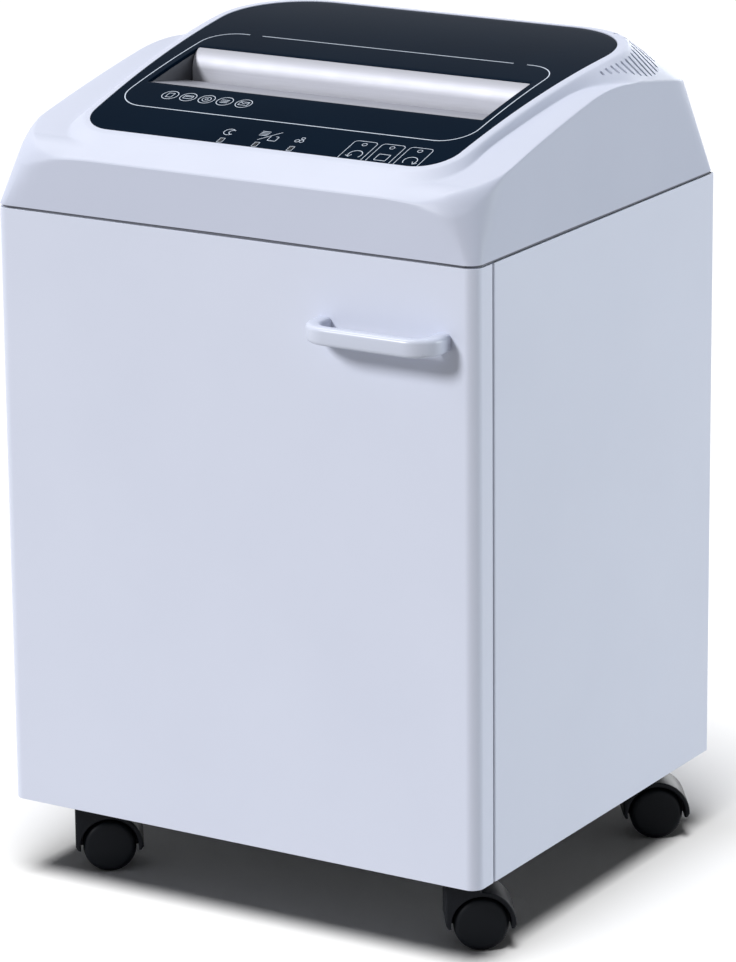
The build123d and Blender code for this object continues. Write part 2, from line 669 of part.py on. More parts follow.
# Lid and panel
def lid_blank(inset, z_low):
    """Drafted block of the lid with its corner radius growing upwards."""
    sections = []
    for z in (z_low, TOP + LID_RISE):
        rise = z - LID_BASE
        half = SIDE - inset - LID_SIDE_DRAFT * rise
        front = FRONT + inset + LID_FRONT_DRAFT * rise
        back = BACK - inset - LID_SIDE_DRAFT * rise
        plan = Pos(0, (front + back) / 2) * Rectangle(2 * half, back - front)
        plan = fillet(plan.vertices().group_by(Axis.Y)[0], DOOR_BEND + LID_FRONT_CORNER * rise - inset)
        plan = fillet(plan.vertices().group_by(Axis.Y)[-1], DOOR_BEND + LID_BACK_CORNER * rise - inset)
        sections.append(Pos(0, 0, z) * plan)
    return loft(sections)


def under_brim(drop):
    """Everything below the brim: a rolled front edge, a rising ramp, a crest and a falling tail."""
    marks = (BRIM_TOE, BRIM_ROLL, BRIM_START, BRIM_END, BRIM_CREST, BRIM_FALL)
    toe, roll, start, end, crest, fall = [(FRONT + y, TOP + z - drop) for y, z in marks]
    tail = (BACK + SHEET, TOP + BRIM_TAIL - drop)
    edges = [
        ThreePointArc(toe, roll, start),
        Line(start, end),
        ThreePointArc(end, crest, fall),
        Polyline(fall, tail, (tail[0], SOLID_LOW), (toe[0], SOLID_LOW), toe),
    ]
    return along_x(make_face(edges), -CABINET_WIDTH, CABINET_WIDTH)


ARC_Y = PANEL_ARC * math.sin(math.radians(PANEL_SLOPE))
ARC_Z = TOP + PANEL_MID - PANEL_ARC * math.cos(math.radians(PANEL_SLOPE))


def panel_height(y):
    """Height of the panel's upper surface at y."""
    return ARC_Z + math.sqrt(PANEL_ARC ** 2 - (y - ARC_Y) ** 2)


def under_panel(drop):
    """Everything below the panel's arc, lowered by drop."""
    y0 = FRONT - SHEET
    y1 = BACK + SHEET
    ends = [(y, panel_height(y) - drop) for y in (y0, 0, y1)]
    edges = [
        ThreePointArc(*ends),
        Polyline(ends[2], (y1, SOLID_LOW), (y0, SOLID_LOW), ends[0]),
    ]
    return along_x(make_face(edges), -CABINET_WIDTH, CABINET_WIDTH)


def panel_outline(grow):
    """Plan of the panel: wider at the back, with larger rear corners."""
    front = SIDE - PANEL_FRONT_SIDE
    back = SIDE - PANEL_BACK_SIDE
    points = [(-front, PANEL_FRONT), (front, PANEL_FRONT), (back, PANEL_BACK), (-back, PANEL_BACK)]
    plan = Polygon(*points, align=None)
    plan = fillet(plan.vertices().group_by(Axis.Y)[0], PANEL_FRONT_CORNER)
    plan = fillet(plan.vertices().group_by(Axis.Y)[-1], PANEL_BACK_CORNER)
    return offset(plan, grow) if grow else plan


def panel_prism(grow):
    """Upright prism on the panel's plan."""
    return Pos(0, 0, TOP) * extrude(panel_outline(grow), 2 * LID_RISE)


def island(inset, drop):
    """Raised island with walls at 45 degrees, cut off below the panel's arc."""
    tilt = Plane(origin=(0, 0, TOP + PANEL_MID), x_dir=(1, 0, 0),
                 z_dir=(0, -math.sin(math.radians(PANEL_SLOPE)), math.cos(math.radians(PANEL_SLOPE))))
    sag_front = PANEL_FRONT ** 2 / (2 * PANEL_ARC)
    sag_back = PANEL_BACK ** 2 / (2 * PANEL_ARC)
    front = PANEL_FRONT - RIM + sag_front - PLATE
    back = PANEL_BACK + RIM - sag_back + PLATE
    front_half = SIDE - PANEL_FRONT_SIDE + RIM - sag_front
    back_half = SIDE - PANEL_BACK_SIDE + RIM - sag_back
    middle_half = (front_half + sag_front + back_half + sag_back) / 2
    edges = [
        Line((-front_half, front), (front_half, front)),
        ThreePointArc((front_half, front), (middle_half, 0), (back_half, back)),
        Line((back_half, back), (-back_half, back)),
        ThreePointArc((-back_half, back), (-middle_half, 0), (-front_half, front)),
    ]
    plan = Sketch() + make_face(edges)
    plan = fillet(plan.vertices().group_by(Axis.Y)[0], PANEL_FRONT_CORNER + RIM - sag_front)
    plan = fillet(plan.vertices().group_by(Axis.Y)[-1], PANEL_BACK_CORNER + RIM - sag_back)
    upper = offset(plan, -inset) if inset else plan
    lower = offset(plan, ISLAND_DEPTH - inset)
    solid = loft([tilt * upper, tilt.offset(-ISLAND_DEPTH) * lower], ruled=True)
    return solid & under_panel(drop)


def lid_form(inset, z_low, panel_drop):
    """Solid form of the lid: brim and island inside the drafted block."""
    blank = lid_blank(inset, z_low)
    raised = island(inset * math.sqrt(2), panel_drop) & blank
    return (blank & under_brim(inset)) + raised


def lid_boss_places():
    """Places of the lid's screw bosses."""
    x = SIDE - BOSS_FROM_SIDE
    ends = (FRONT + BOSS_FROM_FRONT, BACK - BOSS_FROM_BACK)
    return [(side * x, y) for side in (-1, 1) for y in ends]


def lid():
    """Moulded top cover with a seat for the panel, screw bosses and louvres."""
    outer = lid_form(0, LID_BASE, 0)
    shell = outer - lid_form(LID_WALL, LID_BASE - LID_WALL, PANEL_THICK + LEDGE_THICK)
    for x, y in lid_boss_places():
        boss = rod_z(BOSS_RADIUS, CHASSIS_TOP + SEAT, TOP + LID_RISE, x, y) & outer
        foot = rod_z(BOSS_RADIUS, CHASSIS_TOP + SEAT, LID_BASE + SEAT, x, y)
        shell = shell + boss + foot
        shell -= rod_z(SCREW_RADIUS + FIT, TOP, CHASSIS_TOP + LID_SCREW_LENGTH + GAP, x, y)
    shell -= panel_prism(SEAT) - under_panel(PANEL_THICK)
    shell -= panel_prism(-LEDGE)
    for x, y in window_places():
        shell -= window_prism(x, y, -LIGHT_WELL)
    for index in range(LOUVRE_COUNT):
        y = LOUVRE_START + index * LOUVRE_PITCH
        top = rim_side(y + LOUVRE_WIDTH) + LOUVRE_MARGIN
        foot = min(top + LOUVRE_SHORT + index * LOUVRE_GROWTH, SIDE - LOUVRE_SIDE)
        for x0, x1 in ((top, foot), (-foot, -top)):
            shell -= block(x0, x1, y, y + LOUVRE_WIDTH, TOP + LOUVRE_DEPTH, TOP + LID_RISE)
    return shell


def rim_side(y):
    """Half-width of the rim at y, behind the middle: the slanted side, then the rear corner."""
    front = SIDE - PANEL_FRONT_SIDE
    back = SIDE - PANEL_BACK_SIDE
    side = front + (back - front) * (y - PANEL_FRONT) / PANEL_LENGTH
    into = max(y - PANEL_BACK + PANEL_BACK_CORNER, 0)
    return side + RIM - PANEL_BACK_CORNER + math.sqrt(PANEL_BACK_CORNER ** 2 - into ** 2)


def lid_screws():
    """Screws through the chassis plate into the lid's bosses."""
    return group([screw(x, y, TOP, PLATE + LID_SCREW_LENGTH, 1) for x, y in lid_boss_places()])


def window_places():
    """Plan places of the indicator windows."""
    return [(x, WINDOW_Y) for x in WINDOW_X]


def window_prism(x, y, grow):
    """Upright prism of one window."""
    width, length = WINDOW_SIZE
    return block(x - width / 2 - grow, x + width / 2 + grow, y - length / 2 - grow, y + length / 2 + grow,
                 TOP, TOP + LID_RISE)


def control_panel():
    """Curved panel with the feed slot and three windows cut through."""
    panel = (panel_prism(0) & under_panel(0)) - under_panel(PANEL_THICK - SEAT)
    slot = block(-SLOT_HALF, SLOT_HALF, SLOT_FRONT, SLOT_BACK, TOP, TOP + LID_RISE)
    slot = fillet(slot.edges().filter_by(Axis.Z), SLOT_CORNER)
    panel -= slot
    for x, y in window_places():
        panel -= window_prism(x, y, SEAT)
    return panel


def indicator_windows():
    """Clear inlays flush with the panel."""
    skin = under_panel(0) - under_panel(PANEL_THICK)
    return group([window_prism(x, y, 0) & skin for x, y in window_places()])


def touch_board():
    """Thin board behind the keys, following the underside of the panel."""
    width, length = TOUCH_BOARD_SIZE
    skin = under_panel(PANEL_THICK + SEAT) - under_panel(PANEL_THICK + SEAT + TOUCH_BOARD)
    front = PANEL_FRONT + LEDGE + PLATE
    return skin & block(TOUCH_BOARD_X - width / 2, TOUCH_BOARD_X + width / 2, front, front + length,
                        TOP, TOP + LID_RISE)


# Feed throat
GUIDE_END = SLOT_HALF - GAP
GUIDE_FACE = NIP_Y + SLIT / 2
LIP_EDGE = NIP_Y - SLIT / 2


def feed_guide():
    """Rear paper guide: a rolled top edge and an upright face down to the cutters."""
    top = panel_height(SLOT_BACK) - GAP
    under = top - PANEL_THICK
    foot = TOP + GUIDE_FOOT
    start = top - GUIDE_CURVE
    crown = guide_bulge(GUIDE_CURVE)
    nose = SLOT_BACK - GAP
    tail = SLOT_BACK + GUIDE_TAIL
    edges = [
        ThreePointArc((GUIDE_FACE, start), (guide_bulge(GUIDE_CURVE / 2), start + GUIDE_CURVE / 2),
                      (crown, top)),
        Polyline((crown, top), (nose, top), (nose, under), (tail, under), (tail, under - GUIDE),
                 (GUIDE_FACE + 4 * GUIDE, under - GUIDE), (GUIDE_FACE + GUIDE, start),
                 (GUIDE_FACE + GUIDE, foot), (GUIDE_FACE, foot), (GUIDE_FACE, start)),
    ]
    return along_x(make_face(edges), -GUIDE_END, GUIDE_END)


def guide_bulge(rise):
    """Y of the guide's bulging face at a height above its straight part."""
    return GUIDE_FACE + GUIDE_BULGE - math.sqrt(GUIDE_BULGE ** 2 - rise ** 2)


def feed_lip():
    """Front paper ramp: tucked under the panel, sloping back to the slit and turned down."""
    start = SLOT_FRONT + GAP
    rise = panel_height(start)
    tuck = start - LIP_TUCK
    under = panel_height(tuck) - PANEL_THICK - GAP
    foot = TOP + GUIDE_FOOT
    bend = TOP + LIP_FOOT
    points = [
        (tuck, under), (start, under + GUIDE), (start, rise - GAP), (LIP_EDGE, bend), (LIP_EDGE, foot),
        (LIP_EDGE - GUIDE, foot), (LIP_EDGE - GUIDE, bend - GUIDE), (start + GUIDE, under - GUIDE / 2),
        (tuck, under - GUIDE),
    ]
    return along_x(Polygon(*points, align=None), -GUIDE_END, GUIDE_END)


def throat_cheeks():
    """Upright end walls of the feed slot, clipped under the panel."""
    front = SLOT_FRONT - LIP_TUCK
    back = SLOT_BACK + GUIDE_TAIL
    body = block(SLOT_HALF, SLOT_HALF + CHEEK, front, back, TOP + GUIDE_FOOT, TOP + LID_RISE)
    cheek = body & under_panel(PANEL_THICK + SEAT)
    return group([cheek, mirror(cheek, about=Plane.YZ)])


# Cutter head
def chassis_plate():
    """Plate on the cabinet's top flange, with the waste chute and a slot for the drive gear."""
    edge = LID_WALL + BACK_BEND + PLATE
    plate = block(-SIDE + edge, SIDE - edge, SHELL_FRONT + PLATE, BACK - edge, TOP, CHASSIS_TOP)
    chute = DISC_RADIUS + ROLLER_PITCH / 2
    plate -= block(-THROAT_WIDTH / 2, THROAT_WIDTH / 2, NIP_Y - chute, NIP_Y + chute,
                   TOP - PLATE, CHASSIS_TOP + PLATE)
    tip = DRIVE_MODULE * (DRIVE_TEETH / 2 + 1)
    half = math.sqrt(tip ** 2 - (ROLLER_HEIGHT - PLATE) ** 2) + PLATE
    plate -= block(DRIVE_X - PLATE, DRIVE_X + GEAR_WIDTH + PLATE, REAR_ROLLER_Y - half, REAR_ROLLER_Y + half,
                   TOP - PLATE, CHASSIS_TOP + PLATE)
    for x, y in lid_boss_places() + foot_screw_places():
        plate -= rod_z(SCREW_RADIUS + FIT, TOP - PLATE, CHASSIS_TOP + PLATE, x, y)
    plate -= rod_z(SHAFT_RADIUS + FIT, TOP - PLATE, CHASSIS_TOP + PLATE, CAPACITOR_X, MOTOR_Y)
    for x, y in pillar_places():
        plate += rod_z(PILLAR_RADIUS, CHASSIS_TOP, BOARD_Z, x, y)
    return plate


def foot_places():
    """Feet of the side plates: side, front end in y."""
    rear = {-1: PLATE_REAR, 1: PLATE_SHORT_REAR}
    return [(side, y) for side in (-1, 1) for y in (PLATE_FRONT, rear[side] - FOOT_LENGTH)]


def foot_screw_places():
    """Screws through the feet of the side plates."""
    x = PLATE_OUTER + FOOT_WIDTH / 2
    return [(side * x, y + FOOT_LENGTH / 2) for side, y in foot_places()]


def side_plate(side):
    """Side plate of the cutter head; the left one runs back to carry the drive and the motor."""
    low = CHASSIS_TOP
    high = TOP + PLATE_TOP
    if side < 0:
        tall = MOTOR_Z + PLATE_EDGE
        points = [(PLATE_FRONT, low), (PLATE_REAR, low), (PLATE_REAR, tall), (PLATE_SHORT_REAR, tall),
                  (PLATE_SHORT_REAR - ROD_RADIUS, high), (PLATE_FRONT, high)]
    else:
        points = [(PLATE_FRONT, low), (PLATE_SHORT_REAR, low), (PLATE_SHORT_REAR, high), (PLATE_FRONT, high)]
    x0, x1 = sorted((side * PLATE_INNER, side * PLATE_OUTER))
    plate = along_x(Polygon(*points, align=None), x0, x1)
    for foot_side, y in foot_places():
        if foot_side == side:
            ends = sorted((side * PLATE_INNER, side * (PLATE_OUTER + FOOT_WIDTH)))
            plate += block(ends[0], ends[1], y, y + FOOT_LENGTH, low, low + FOOT_THICK)
    for x, y in foot_screw_places():
        plate -= rod_z(SCREW_RADIUS + FIT, low - PLATE, low + FOOT_THICK + PLATE, x, y)
    for y in (FRONT_ROLLER_Y, REAR_ROLLER_Y):
        plate -= rod_x(BEARING_RADIUS + FIT, x0 - PLATE, x1 + PLATE, y, AXIS_Z)
    for y in rod_places():
        plate -= rod_x(ROD_SPIGOT + FIT, x0 - PLATE, x1 + PLATE, y, TOP + ROD_HEIGHT)
    if side < 0:
        plate -= stud_rod(STUD_RADIUS + FIT, x0 - PLATE, x1 + PLATE)
        plate -= motor_rod(RACE_RADIUS, x0 - PLATE, x1 + PLATE)
    return plate


def rod_places():
    """Y of the tie rods in front of and behind the rollers."""
    reach = ROLLER_PITCH / 2 + DISC_RADIUS + ROD_OUT
    return NIP_Y - reach, NIP_Y + reach


def tie_rods():
    """Rods between the side plates, with a spigot through each plate."""
    rods = []
    for y in rod_places():
        rod = rod_x(ROD_RADIUS, -PLATE_INNER, PLATE_INNER, y, TOP + ROD_HEIGHT)
        rods.append(rod + rod_x(ROD_SPIGOT, -PLATE_OUTER, PLATE_OUTER, y, TOP + ROD_HEIGHT))
    return group(rods)


def roller_bushes():
    """Flanged bushes for the four roller journals."""
    bushes = []
    for side in (-1, 1):
        for y in (FRONT_ROLLER_Y, REAR_ROLLER_Y):
            x0, x1 = sorted((side * PLATE_INNER, side * (PLATE_OUTER + SEAT + BEARING_LIP)))
            lip0, lip1 = sorted((side * (PLATE_OUTER + SEAT), side * (PLATE_OUTER + SEAT + BEARING_LIP)))
            bush = rod_x(BEARING_RADIUS, x0, x1, y, AXIS_Z) + rod_x(BEARING_FLANGE, lip0, lip1, y, AXIS_Z)
            bushes.append(bush - rod_x(JOURNAL_RADIUS + FIT, x0 - PLATE, x1 + PLATE, y, AXIS_Z))
    return group(bushes)


def cutter_disc():
    """Plan of one cutter disc with hooked notches."""
    disc = Sketch() + Circle(DISC_RADIUS)
    for index in range(HOOK_COUNT):
        rim = DISC_RADIUS + HOOK_DEPTH
        root = DISC_RADIUS - HOOK_DEPTH
        notch = Polygon((root, 0), (rim, 0), (rim, rim / 2), align=None)
        disc -= Rot(0, 0, index * 360 / HOOK_COUNT) * notch
    return disc


def cutter_roller(y, shift, left_end):
    """One cutter roller: core, hooked discs stepping round it, and a journal at each end."""
    half = THROAT_WIDTH / 2
    roller = rod_x(CORE_RADIUS, -half, half, y, AXIS_Z)
    roller += rod_x(JOURNAL_RADIUS, left_end, GEAR_INNER + GEAR_WIDTH + GAP, y, AXIS_Z)
    count = int(THROAT_WIDTH / DISC_PITCH)
    margin = (THROAT_WIDTH - count * DISC_PITCH) / 2
    profile = cutter_disc()
    discs = []
    for index in range(count):
        x = -half + margin + shift + index * DISC_PITCH
        plane = Plane(origin=(x, y, AXIS_Z), x_dir=(0, 1, 0), z_dir=(1, 0, 0))
        discs.append(extrude(plane * (Rot(0, 0, index * HOOK_STEP) * profile), DISC_WIDTH))
    return roller + discs


DISC_SIDE = (DISC_PITCH / 2 - DISC_WIDTH) / 2    # play on each side of a disc


def stripper_comb(y, way, shift):
    """Comb whose fingers reach between the discs of one roller from outside."""
    half = THROAT_WIDTH / 2
    tip = y + way * (CORE_RADIUS + COMB_REACH)
    root = y + way * (CORE_RADIUS + COMB_DEPTH)
    back = root + way * COMB_BAR
    z0 = AXIS_Z - COMB_HEIGHT / 2
    z1 = AXIS_Z + COMB_HEIGHT / 2
    bar0, bar1 = sorted((root, back))
    comb = block(-PLATE_INNER, PLATE_INNER, bar0, bar1, z0, z1)
    count = int(THROAT_WIDTH / DISC_PITCH)
    margin = (THROAT_WIDTH - count * DISC_PITCH) / 2
    finger0, finger1 = sorted((tip, root + way * SEAT))
    middle = shift + DISC_WIDTH + (DISC_PITCH - DISC_WIDTH) / 2
    fingers = []
    for index in range(count - 1):
        x = -half + margin + middle + index * DISC_PITCH
        fingers.append(block(x - COMB_FINGER / 2, x + COMB_FINGER / 2, finger0, finger1, z0, z1))
    return comb + fingers


# Gears
def gear_face(teeth, module, phase):
    """Stub involute gear: a tooth centred on the phase direction, in degrees from +Y towards +Z."""
    pitch = module * teeth / 2
    base = pitch * math.cos(PRESSURE_ANGLE)
    tip = pitch + ADDENDUM * module
    root = pitch - DEDENDUM * module
    half_pitch = math.pi / (2 * teeth) - BACKLASH / (2 * pitch)

    def involute(angle):
        return math.tan(angle) - angle

    def half_angle(radius):
        return half_pitch + involute(PRESSURE_ANGLE) - involute(math.acos(min(1.0, base / radius)))

    low = max(base, root)
    flank = [low + (tip - low) * step / 3 for step in range(4)]
    side = [(radius, half_angle(radius)) for radius in flank]
    if root < base:
        side.insert(0, (root, half_angle(base)))
    points = []
    for tooth in range(teeth):
        centre = math.radians(phase) + tooth * 2 * math.pi / teeth
        for radius, angle in side:
            points.append((radius * math.cos(centre - angle), radius * math.sin(centre - angle)))
        for radius, angle in reversed(side):
            points.append((radius * math.cos(centre + angle), radius * math.sin(centre + angle)))
    return Polygon(*points, align=None)


def gear(teeth, module, phase, x0, x1, y, z):
    """Gear between x0 and x1 on the axis (y, z)."""
    plane = Plane(origin=(x0, y, z), x_dir=(0, 1, 0), z_dir=(1, 0, 0))
    return extrude(plane * gear_face(teeth, module, phase), x1 - x0)


def timing_gear(y, phase):
    """Gear on the right end of a roller; the pair keeps the rollers in step."""
    x0 = GEAR_INNER
    x1 = GEAR_INNER + GEAR_WIDTH
    wheel = gear(TIMING_TEETH, TIMING_MODULE, phase, x0, x1, y, AXIS_Z)
    return wheel - rod_x(JOURNAL_RADIUS + FIT, x0 - PLATE, x1 + PLATE, y, AXIS_Z)


def drive_gear():
    """Large gear on the left end of the rear roller, lightened by a ring of holes."""
    x0 = DRIVE_X
    x1 = DRIVE_X + GEAR_WIDTH
    wheel = gear(DRIVE_TEETH, DRIVE_MODULE, CLUSTER_ANGLE, x0, x1, REAR_ROLLER_Y, AXIS_Z)
    wheel -= rod_x(JOURNAL_RADIUS + FIT, x0 - PLATE, x1 + PLATE, REAR_ROLLER_Y, AXIS_Z)
    for index in range(LIGHTENING_HOLES):
        y, z = polar(REAR_ROLLER_Y, AXIS_Z, LIGHTENING_CIRCLE, index * 360 / LIGHTENING_HOLES)
        wheel -= rod_x(LIGHTENING_RADIUS, x0 - PLATE, x1 + PLATE, y, z)
    return wheel


CLUSTER_END = DRIVE_X + GEAR_WIDTH + PLATE / 2


def cluster_gear():
    """Two gears in one: the small one meshes with the drive gear, the large one with the pinion."""
    meshing = CLUSTER_ANGLE + 180 + 180 / CLUSTER_SMALL_TEETH
    cluster = gear(CLUSTER_SMALL_TEETH, DRIVE_MODULE, meshing, FINE_X, CLUSTER_END, CLUSTER_Y, CLUSTER_Z)
    cluster += gear(CLUSTER_LARGE_TEETH, FINE_MODULE, PINION_ANGLE, FINE_X - FINE_WIDTH, FINE_X,
                    CLUSTER_Y, CLUSTER_Z)
    return cluster - stud_rod(STUD_RADIUS + FIT, FINE_X - GEAR_WIDTH, -PLATE_OUTER)


def gear_stud():
    """Fixed stud of the cluster gear, with a shoulder against the side plate."""
    end = FINE_X - FINE_WIDTH - PLATE
    stud = stud_rod(STUD_RADIUS, end, -PLATE_INNER)
    return stud + stud_rod(STUD_SHOULDER, CLUSTER_END + GAP, -PLATE_OUTER)


def motor_pinion():
    """Small gear on the motor shaft."""
    meshing = PINION_ANGLE + 180 + 180 / PINION_TEETH
    x0 = FINE_X - FINE_WIDTH - GAP
    x1 = FINE_X + GAP
    pinion = gear(PINION_TEETH, FINE_MODULE, meshing, x0, x1, MOTOR_Y, MOTOR_Z)
    return pinion - motor_rod(SHAFT_RADIUS + FIT, x0 - PLATE, x1 + PLATE)


# Motor
STATOR_X = (MOTOR_FACE + MOTOR_TAIL - STATOR_LENGTH) / 2
FAN_X = MOTOR_TAIL + 2 * PLATE


def motor_housing():
    """Cup with the front bearing seat; its face bolts to the left side plate."""
    cup = motor_rod(MOTOR_RADIUS, MOTOR_FACE, MOTOR_TAIL - MOTOR_END)
    cup -= motor_rod(MOTOR_RADIUS - MOTOR_WALL, MOTOR_FACE + MOTOR_END, MOTOR_TAIL)
    cup -= motor_rod(RACE_RADIUS + FIT, MOTOR_FACE + MOTOR_END - RACE_WIDTH, MOTOR_TAIL)
    return cup - motor_rod(SHAFT_RADIUS + 2 * GAP, MOTOR_FACE - PLATE, MOTOR_TAIL)


def motor_end_cap():
    """Rear cover of the motor with the second bearing seat."""
    x0 = MOTOR_TAIL - MOTOR_END
    cap = motor_rod(MOTOR_RADIUS, x0, MOTOR_TAIL)
    cap += motor_rod(MOTOR_RADIUS - MOTOR_WALL - FIT, x0 - MOTOR_WALL, x0)
    cap -= motor_rod(RACE_RADIUS + FIT, x0 - MOTOR_END, x0 + RACE_WIDTH)
    return cap - motor_rod(SHAFT_RADIUS + 2 * GAP, x0, MOTOR_TAIL + PLATE)


def motor_races():
    """Two ball bearings, each as a plain ring."""
    rings = []
    for x0 in (MOTOR_FACE + MOTOR_END - RACE_WIDTH, MOTOR_TAIL - MOTOR_END):
        ring = motor_rod(RACE_RADIUS, x0 + FIT, x0 + RACE_WIDTH - FIT)
        rings.append(ring - motor_rod(SHAFT_RADIUS + FIT, x0 - PLATE, x0 + 2 * RACE_WIDTH))
    return group(rings)


def motor_stator():
    """Stator ring pressed into the housing."""
    ring = motor_rod(MOTOR_RADIUS - MOTOR_WALL - FIT, STATOR_X, STATOR_X + STATOR_LENGTH)
    return ring - motor_rod(STATOR_BORE, STATOR_X - PLATE, STATOR_X + STATOR_LENGTH + PLATE)


def motor_rotor():
    """Rotor core on the motor shaft, which runs from the pinion to the fan."""
    core = motor_rod(STATOR_BORE - AIR_GAP, STATOR_X + PLATE, STATOR_X + STATOR_LENGTH - PLATE)
    return core + motor_rod(SHAFT_RADIUS, FINE_X - FINE_WIDTH - 2 * GAP, FAN_X + FAN_WIDTH + PLATE)



def motor_fan():
    """Radial fan behind the motor."""
    fan = motor_rod(FAN_HUB, FAN_X, FAN_X + FAN_WIDTH)
    fan += motor_rod(FAN_RADIUS, FAN_X, FAN_X + FAN_BLADE)
    blades = []
    for index in range(FAN_BLADES):
        blade = block(FAN_X, FAN_X + FAN_WIDTH, 0, FAN_RADIUS, -FAN_BLADE / 2, FAN_BLADE / 2)
        blades.append(Pos(0, MOTOR_Y, MOTOR_Z) * Rot(index * 360 / FAN_BLADES, 0, 0) * blade)
    return (fan + blades) - motor_rod(SHAFT_RADIUS + FIT, FAN_X - PLATE, FAN_X + FAN_WIDTH + PLATE)


def motor_cradle():
    """Saddle on the chassis plate under the tail of the motor."""
    x1 = MOTOR_TAIL - MOTOR_END - PLATE
    saddle = block(x1 - CRADLE_WIDTH, x1, MOTOR_Y - CRADLE_HALF, MOTOR_Y + CRADLE_HALF,
                   CHASSIS_TOP, CHASSIS_TOP + CRADLE_HEIGHT)
    return saddle - motor_rod(MOTOR_RADIUS + SEAT, x1 - 2 * CRADLE_WIDTH, x1 + PLATE)


# Electrics
CAPACITOR_X = FAN_X + FAN_WIDTH + FAN_RADIUS + CAPACITOR_RADIUS


def run_capacitor():
    """Upright capacitor can beside the motor, held by the stud in its floor."""
    can = rod_z(CAPACITOR_RADIUS, CHASSIS_TOP, CHASSIS_TOP + CAPACITOR_LENGTH, CAPACITOR_X, MOTOR_Y)
    can = fillet(can.edges().filter_by(GeomType.CIRCLE).sort_by(Axis.Z)[-1], SHEET)
    return can + rod_z(SHAFT_RADIUS, TOP - STUD_SHOULDER, CHASSIS_TOP, CAPACITOR_X, MOTOR_Y)


BOARD_X = BOARD_SIZE[0] / 2
BOARD_Y = PLATE_FRONT - COMB_BAR - BOARD_SIZE[1] / 2
BOARD_Z = CHASSIS_TOP + BOARD_LIFT


def pillar_places():
    """Pillars of the chassis plate under the corners of the power board."""
    dx = BOARD_SIZE[0] / 2 - PILLAR_INSET
    dy = BOARD_SIZE[1] / 2 - PILLAR_INSET
    return [(BOARD_X + x, BOARD_Y + y) for x, y in corners(dx, dy)]


def power_board():
    """Power board with relays, a terminal strip, a finned heat sink and a round capacitor."""
    dx = BOARD_SIZE[0] / 2
    dy = BOARD_SIZE[1] / 2
    left = BOARD_X - dx + BOARD_MARGIN
    right = BOARD_X + dx - BOARD_MARGIN
    face = BOARD_Z + BOARD
    board = block(BOARD_X - dx, BOARD_X + dx, BOARD_Y - dy, BOARD_Y + dy, BOARD_Z, face)
    for index in range(2):
        x = left + index * RELAY_PITCH
        board += block(x, x + RELAY_SIZE[0], BOARD_Y, BOARD_Y + RELAY_SIZE[1], face, face + RELAY_SIZE[2])
    board += block(left, left + 2 * RELAY_PITCH, BOARD_Y + dy - STRIP_SIZE[0], BOARD_Y + dy,
                   face, face + STRIP_SIZE[1])
    sink = block(right - SINK_LENGTH, right, BOARD_Y - FIN_COUNT * FIN_PITCH, BOARD_Y, face, face + FIN)
    for index in range(FIN_COUNT):
        y = BOARD_Y - (index + 1) * FIN_PITCH
        sink += block(right - SINK_LENGTH, right, y, y + FIN, face, face + FIN_HEIGHT)
    can_y = BOARD_Y + dy / 2
    return board + sink + rod_z(SMOOTHING_RADIUS, face, face + FIN_HEIGHT, right - SINK_LENGTH / 2, can_y)


def paper_sensor():
    """Sensor behind the feed guide that starts the rollers."""
    width, depth, height = SENSOR_SIZE
    y0 = GUIDE_FACE + GUIDE + SEAT
    z0 = TOP + GUIDE_FOOT + PLATE
    return block(-width / 2, width / 2, y0, y0 + depth, z0, z0 + height)


def bin_sensor():
    """Sensor under the chassis plate that sees a full bin."""
    width, depth, height = BIN_SENSOR_SIZE
    y0 = NIP_Y + DISC_RADIUS + ROLLER_PITCH / 2 + PLATE
    return block(-width / 2, width / 2, y0, y0 + depth, TOP - height, TOP)


def power_plate():
    """Dished plate behind the opening in the back; it carries the inlet and the switch."""
    width, height = POWER_OPENING
    dish = behind_back(POWER_X, width / 2 + POWER_LAP, height / 2 + POWER_LAP,
                       POWER_FACE - SHEET, BACK - SHEET)
    return dish - power_opening() - inlet_body(SEAT) - rocker_body(SEAT)


def inlet_body(grow):
    """Block of the inlet behind its bezel."""
    width, height = INLET_SIZE
    return behind_back(INLET_X, width / 2 + grow, height / 2 + grow, POWER_FACE - INLET_DEPTH, POWER_FACE)


def mains_inlet():
    """Appliance inlet with a bezel, a hollow for the coupler and three contact blades."""
    dx = INLET_SIZE[0] / 2
    dz = INLET_SIZE[1] / 2
    bezel = behind_back(INLET_X, dx + INLET_LAP, dz + INLET_LAP, POWER_FACE, POWER_FACE + INLET_BEZEL)
    floor = POWER_FACE - INLET_DEPTH + INLET_BEZEL
    hollow = behind_back(INLET_X, dx - INLET_SHROUD, dz - INLET_SHROUD, floor, BACK)
    hollow = chamfer(hollow.edges().filter_by(Axis.Y).group_by(Axis.Z)[-1], 2 * INLET_SHROUD)
    return inlet_body(0) + bezel - hollow + inlet_blades(floor)


def inlet_blades(floor):
    """Three contact blades moulded into the floor of the inlet, the middle one higher."""
    width, height, length = BLADE_SIZE
    blades = []
    for step in (-1, 0, 1):
        x = INLET_X + step * BLADE_SPREAD
        z = POWER_Z + height * (0.5 - abs(step))
        blades.append(block(x - width / 2, x + width / 2, floor - SEAT, floor + length,
                            z - height / 2, z + height / 2))
    return blades


def rocker_body(grow):
    """Block of the switch behind its frame."""
    dx = (ROCKER_SIZE[0] + ROCKER_FRAME) / 2 + grow
    dz = (ROCKER_SIZE[1] + ROCKER_FRAME) / 2 + grow
    return behind_back(ROCKER_X, dx, dz, POWER_FACE - ROCKER_DEPTH, POWER_FACE)


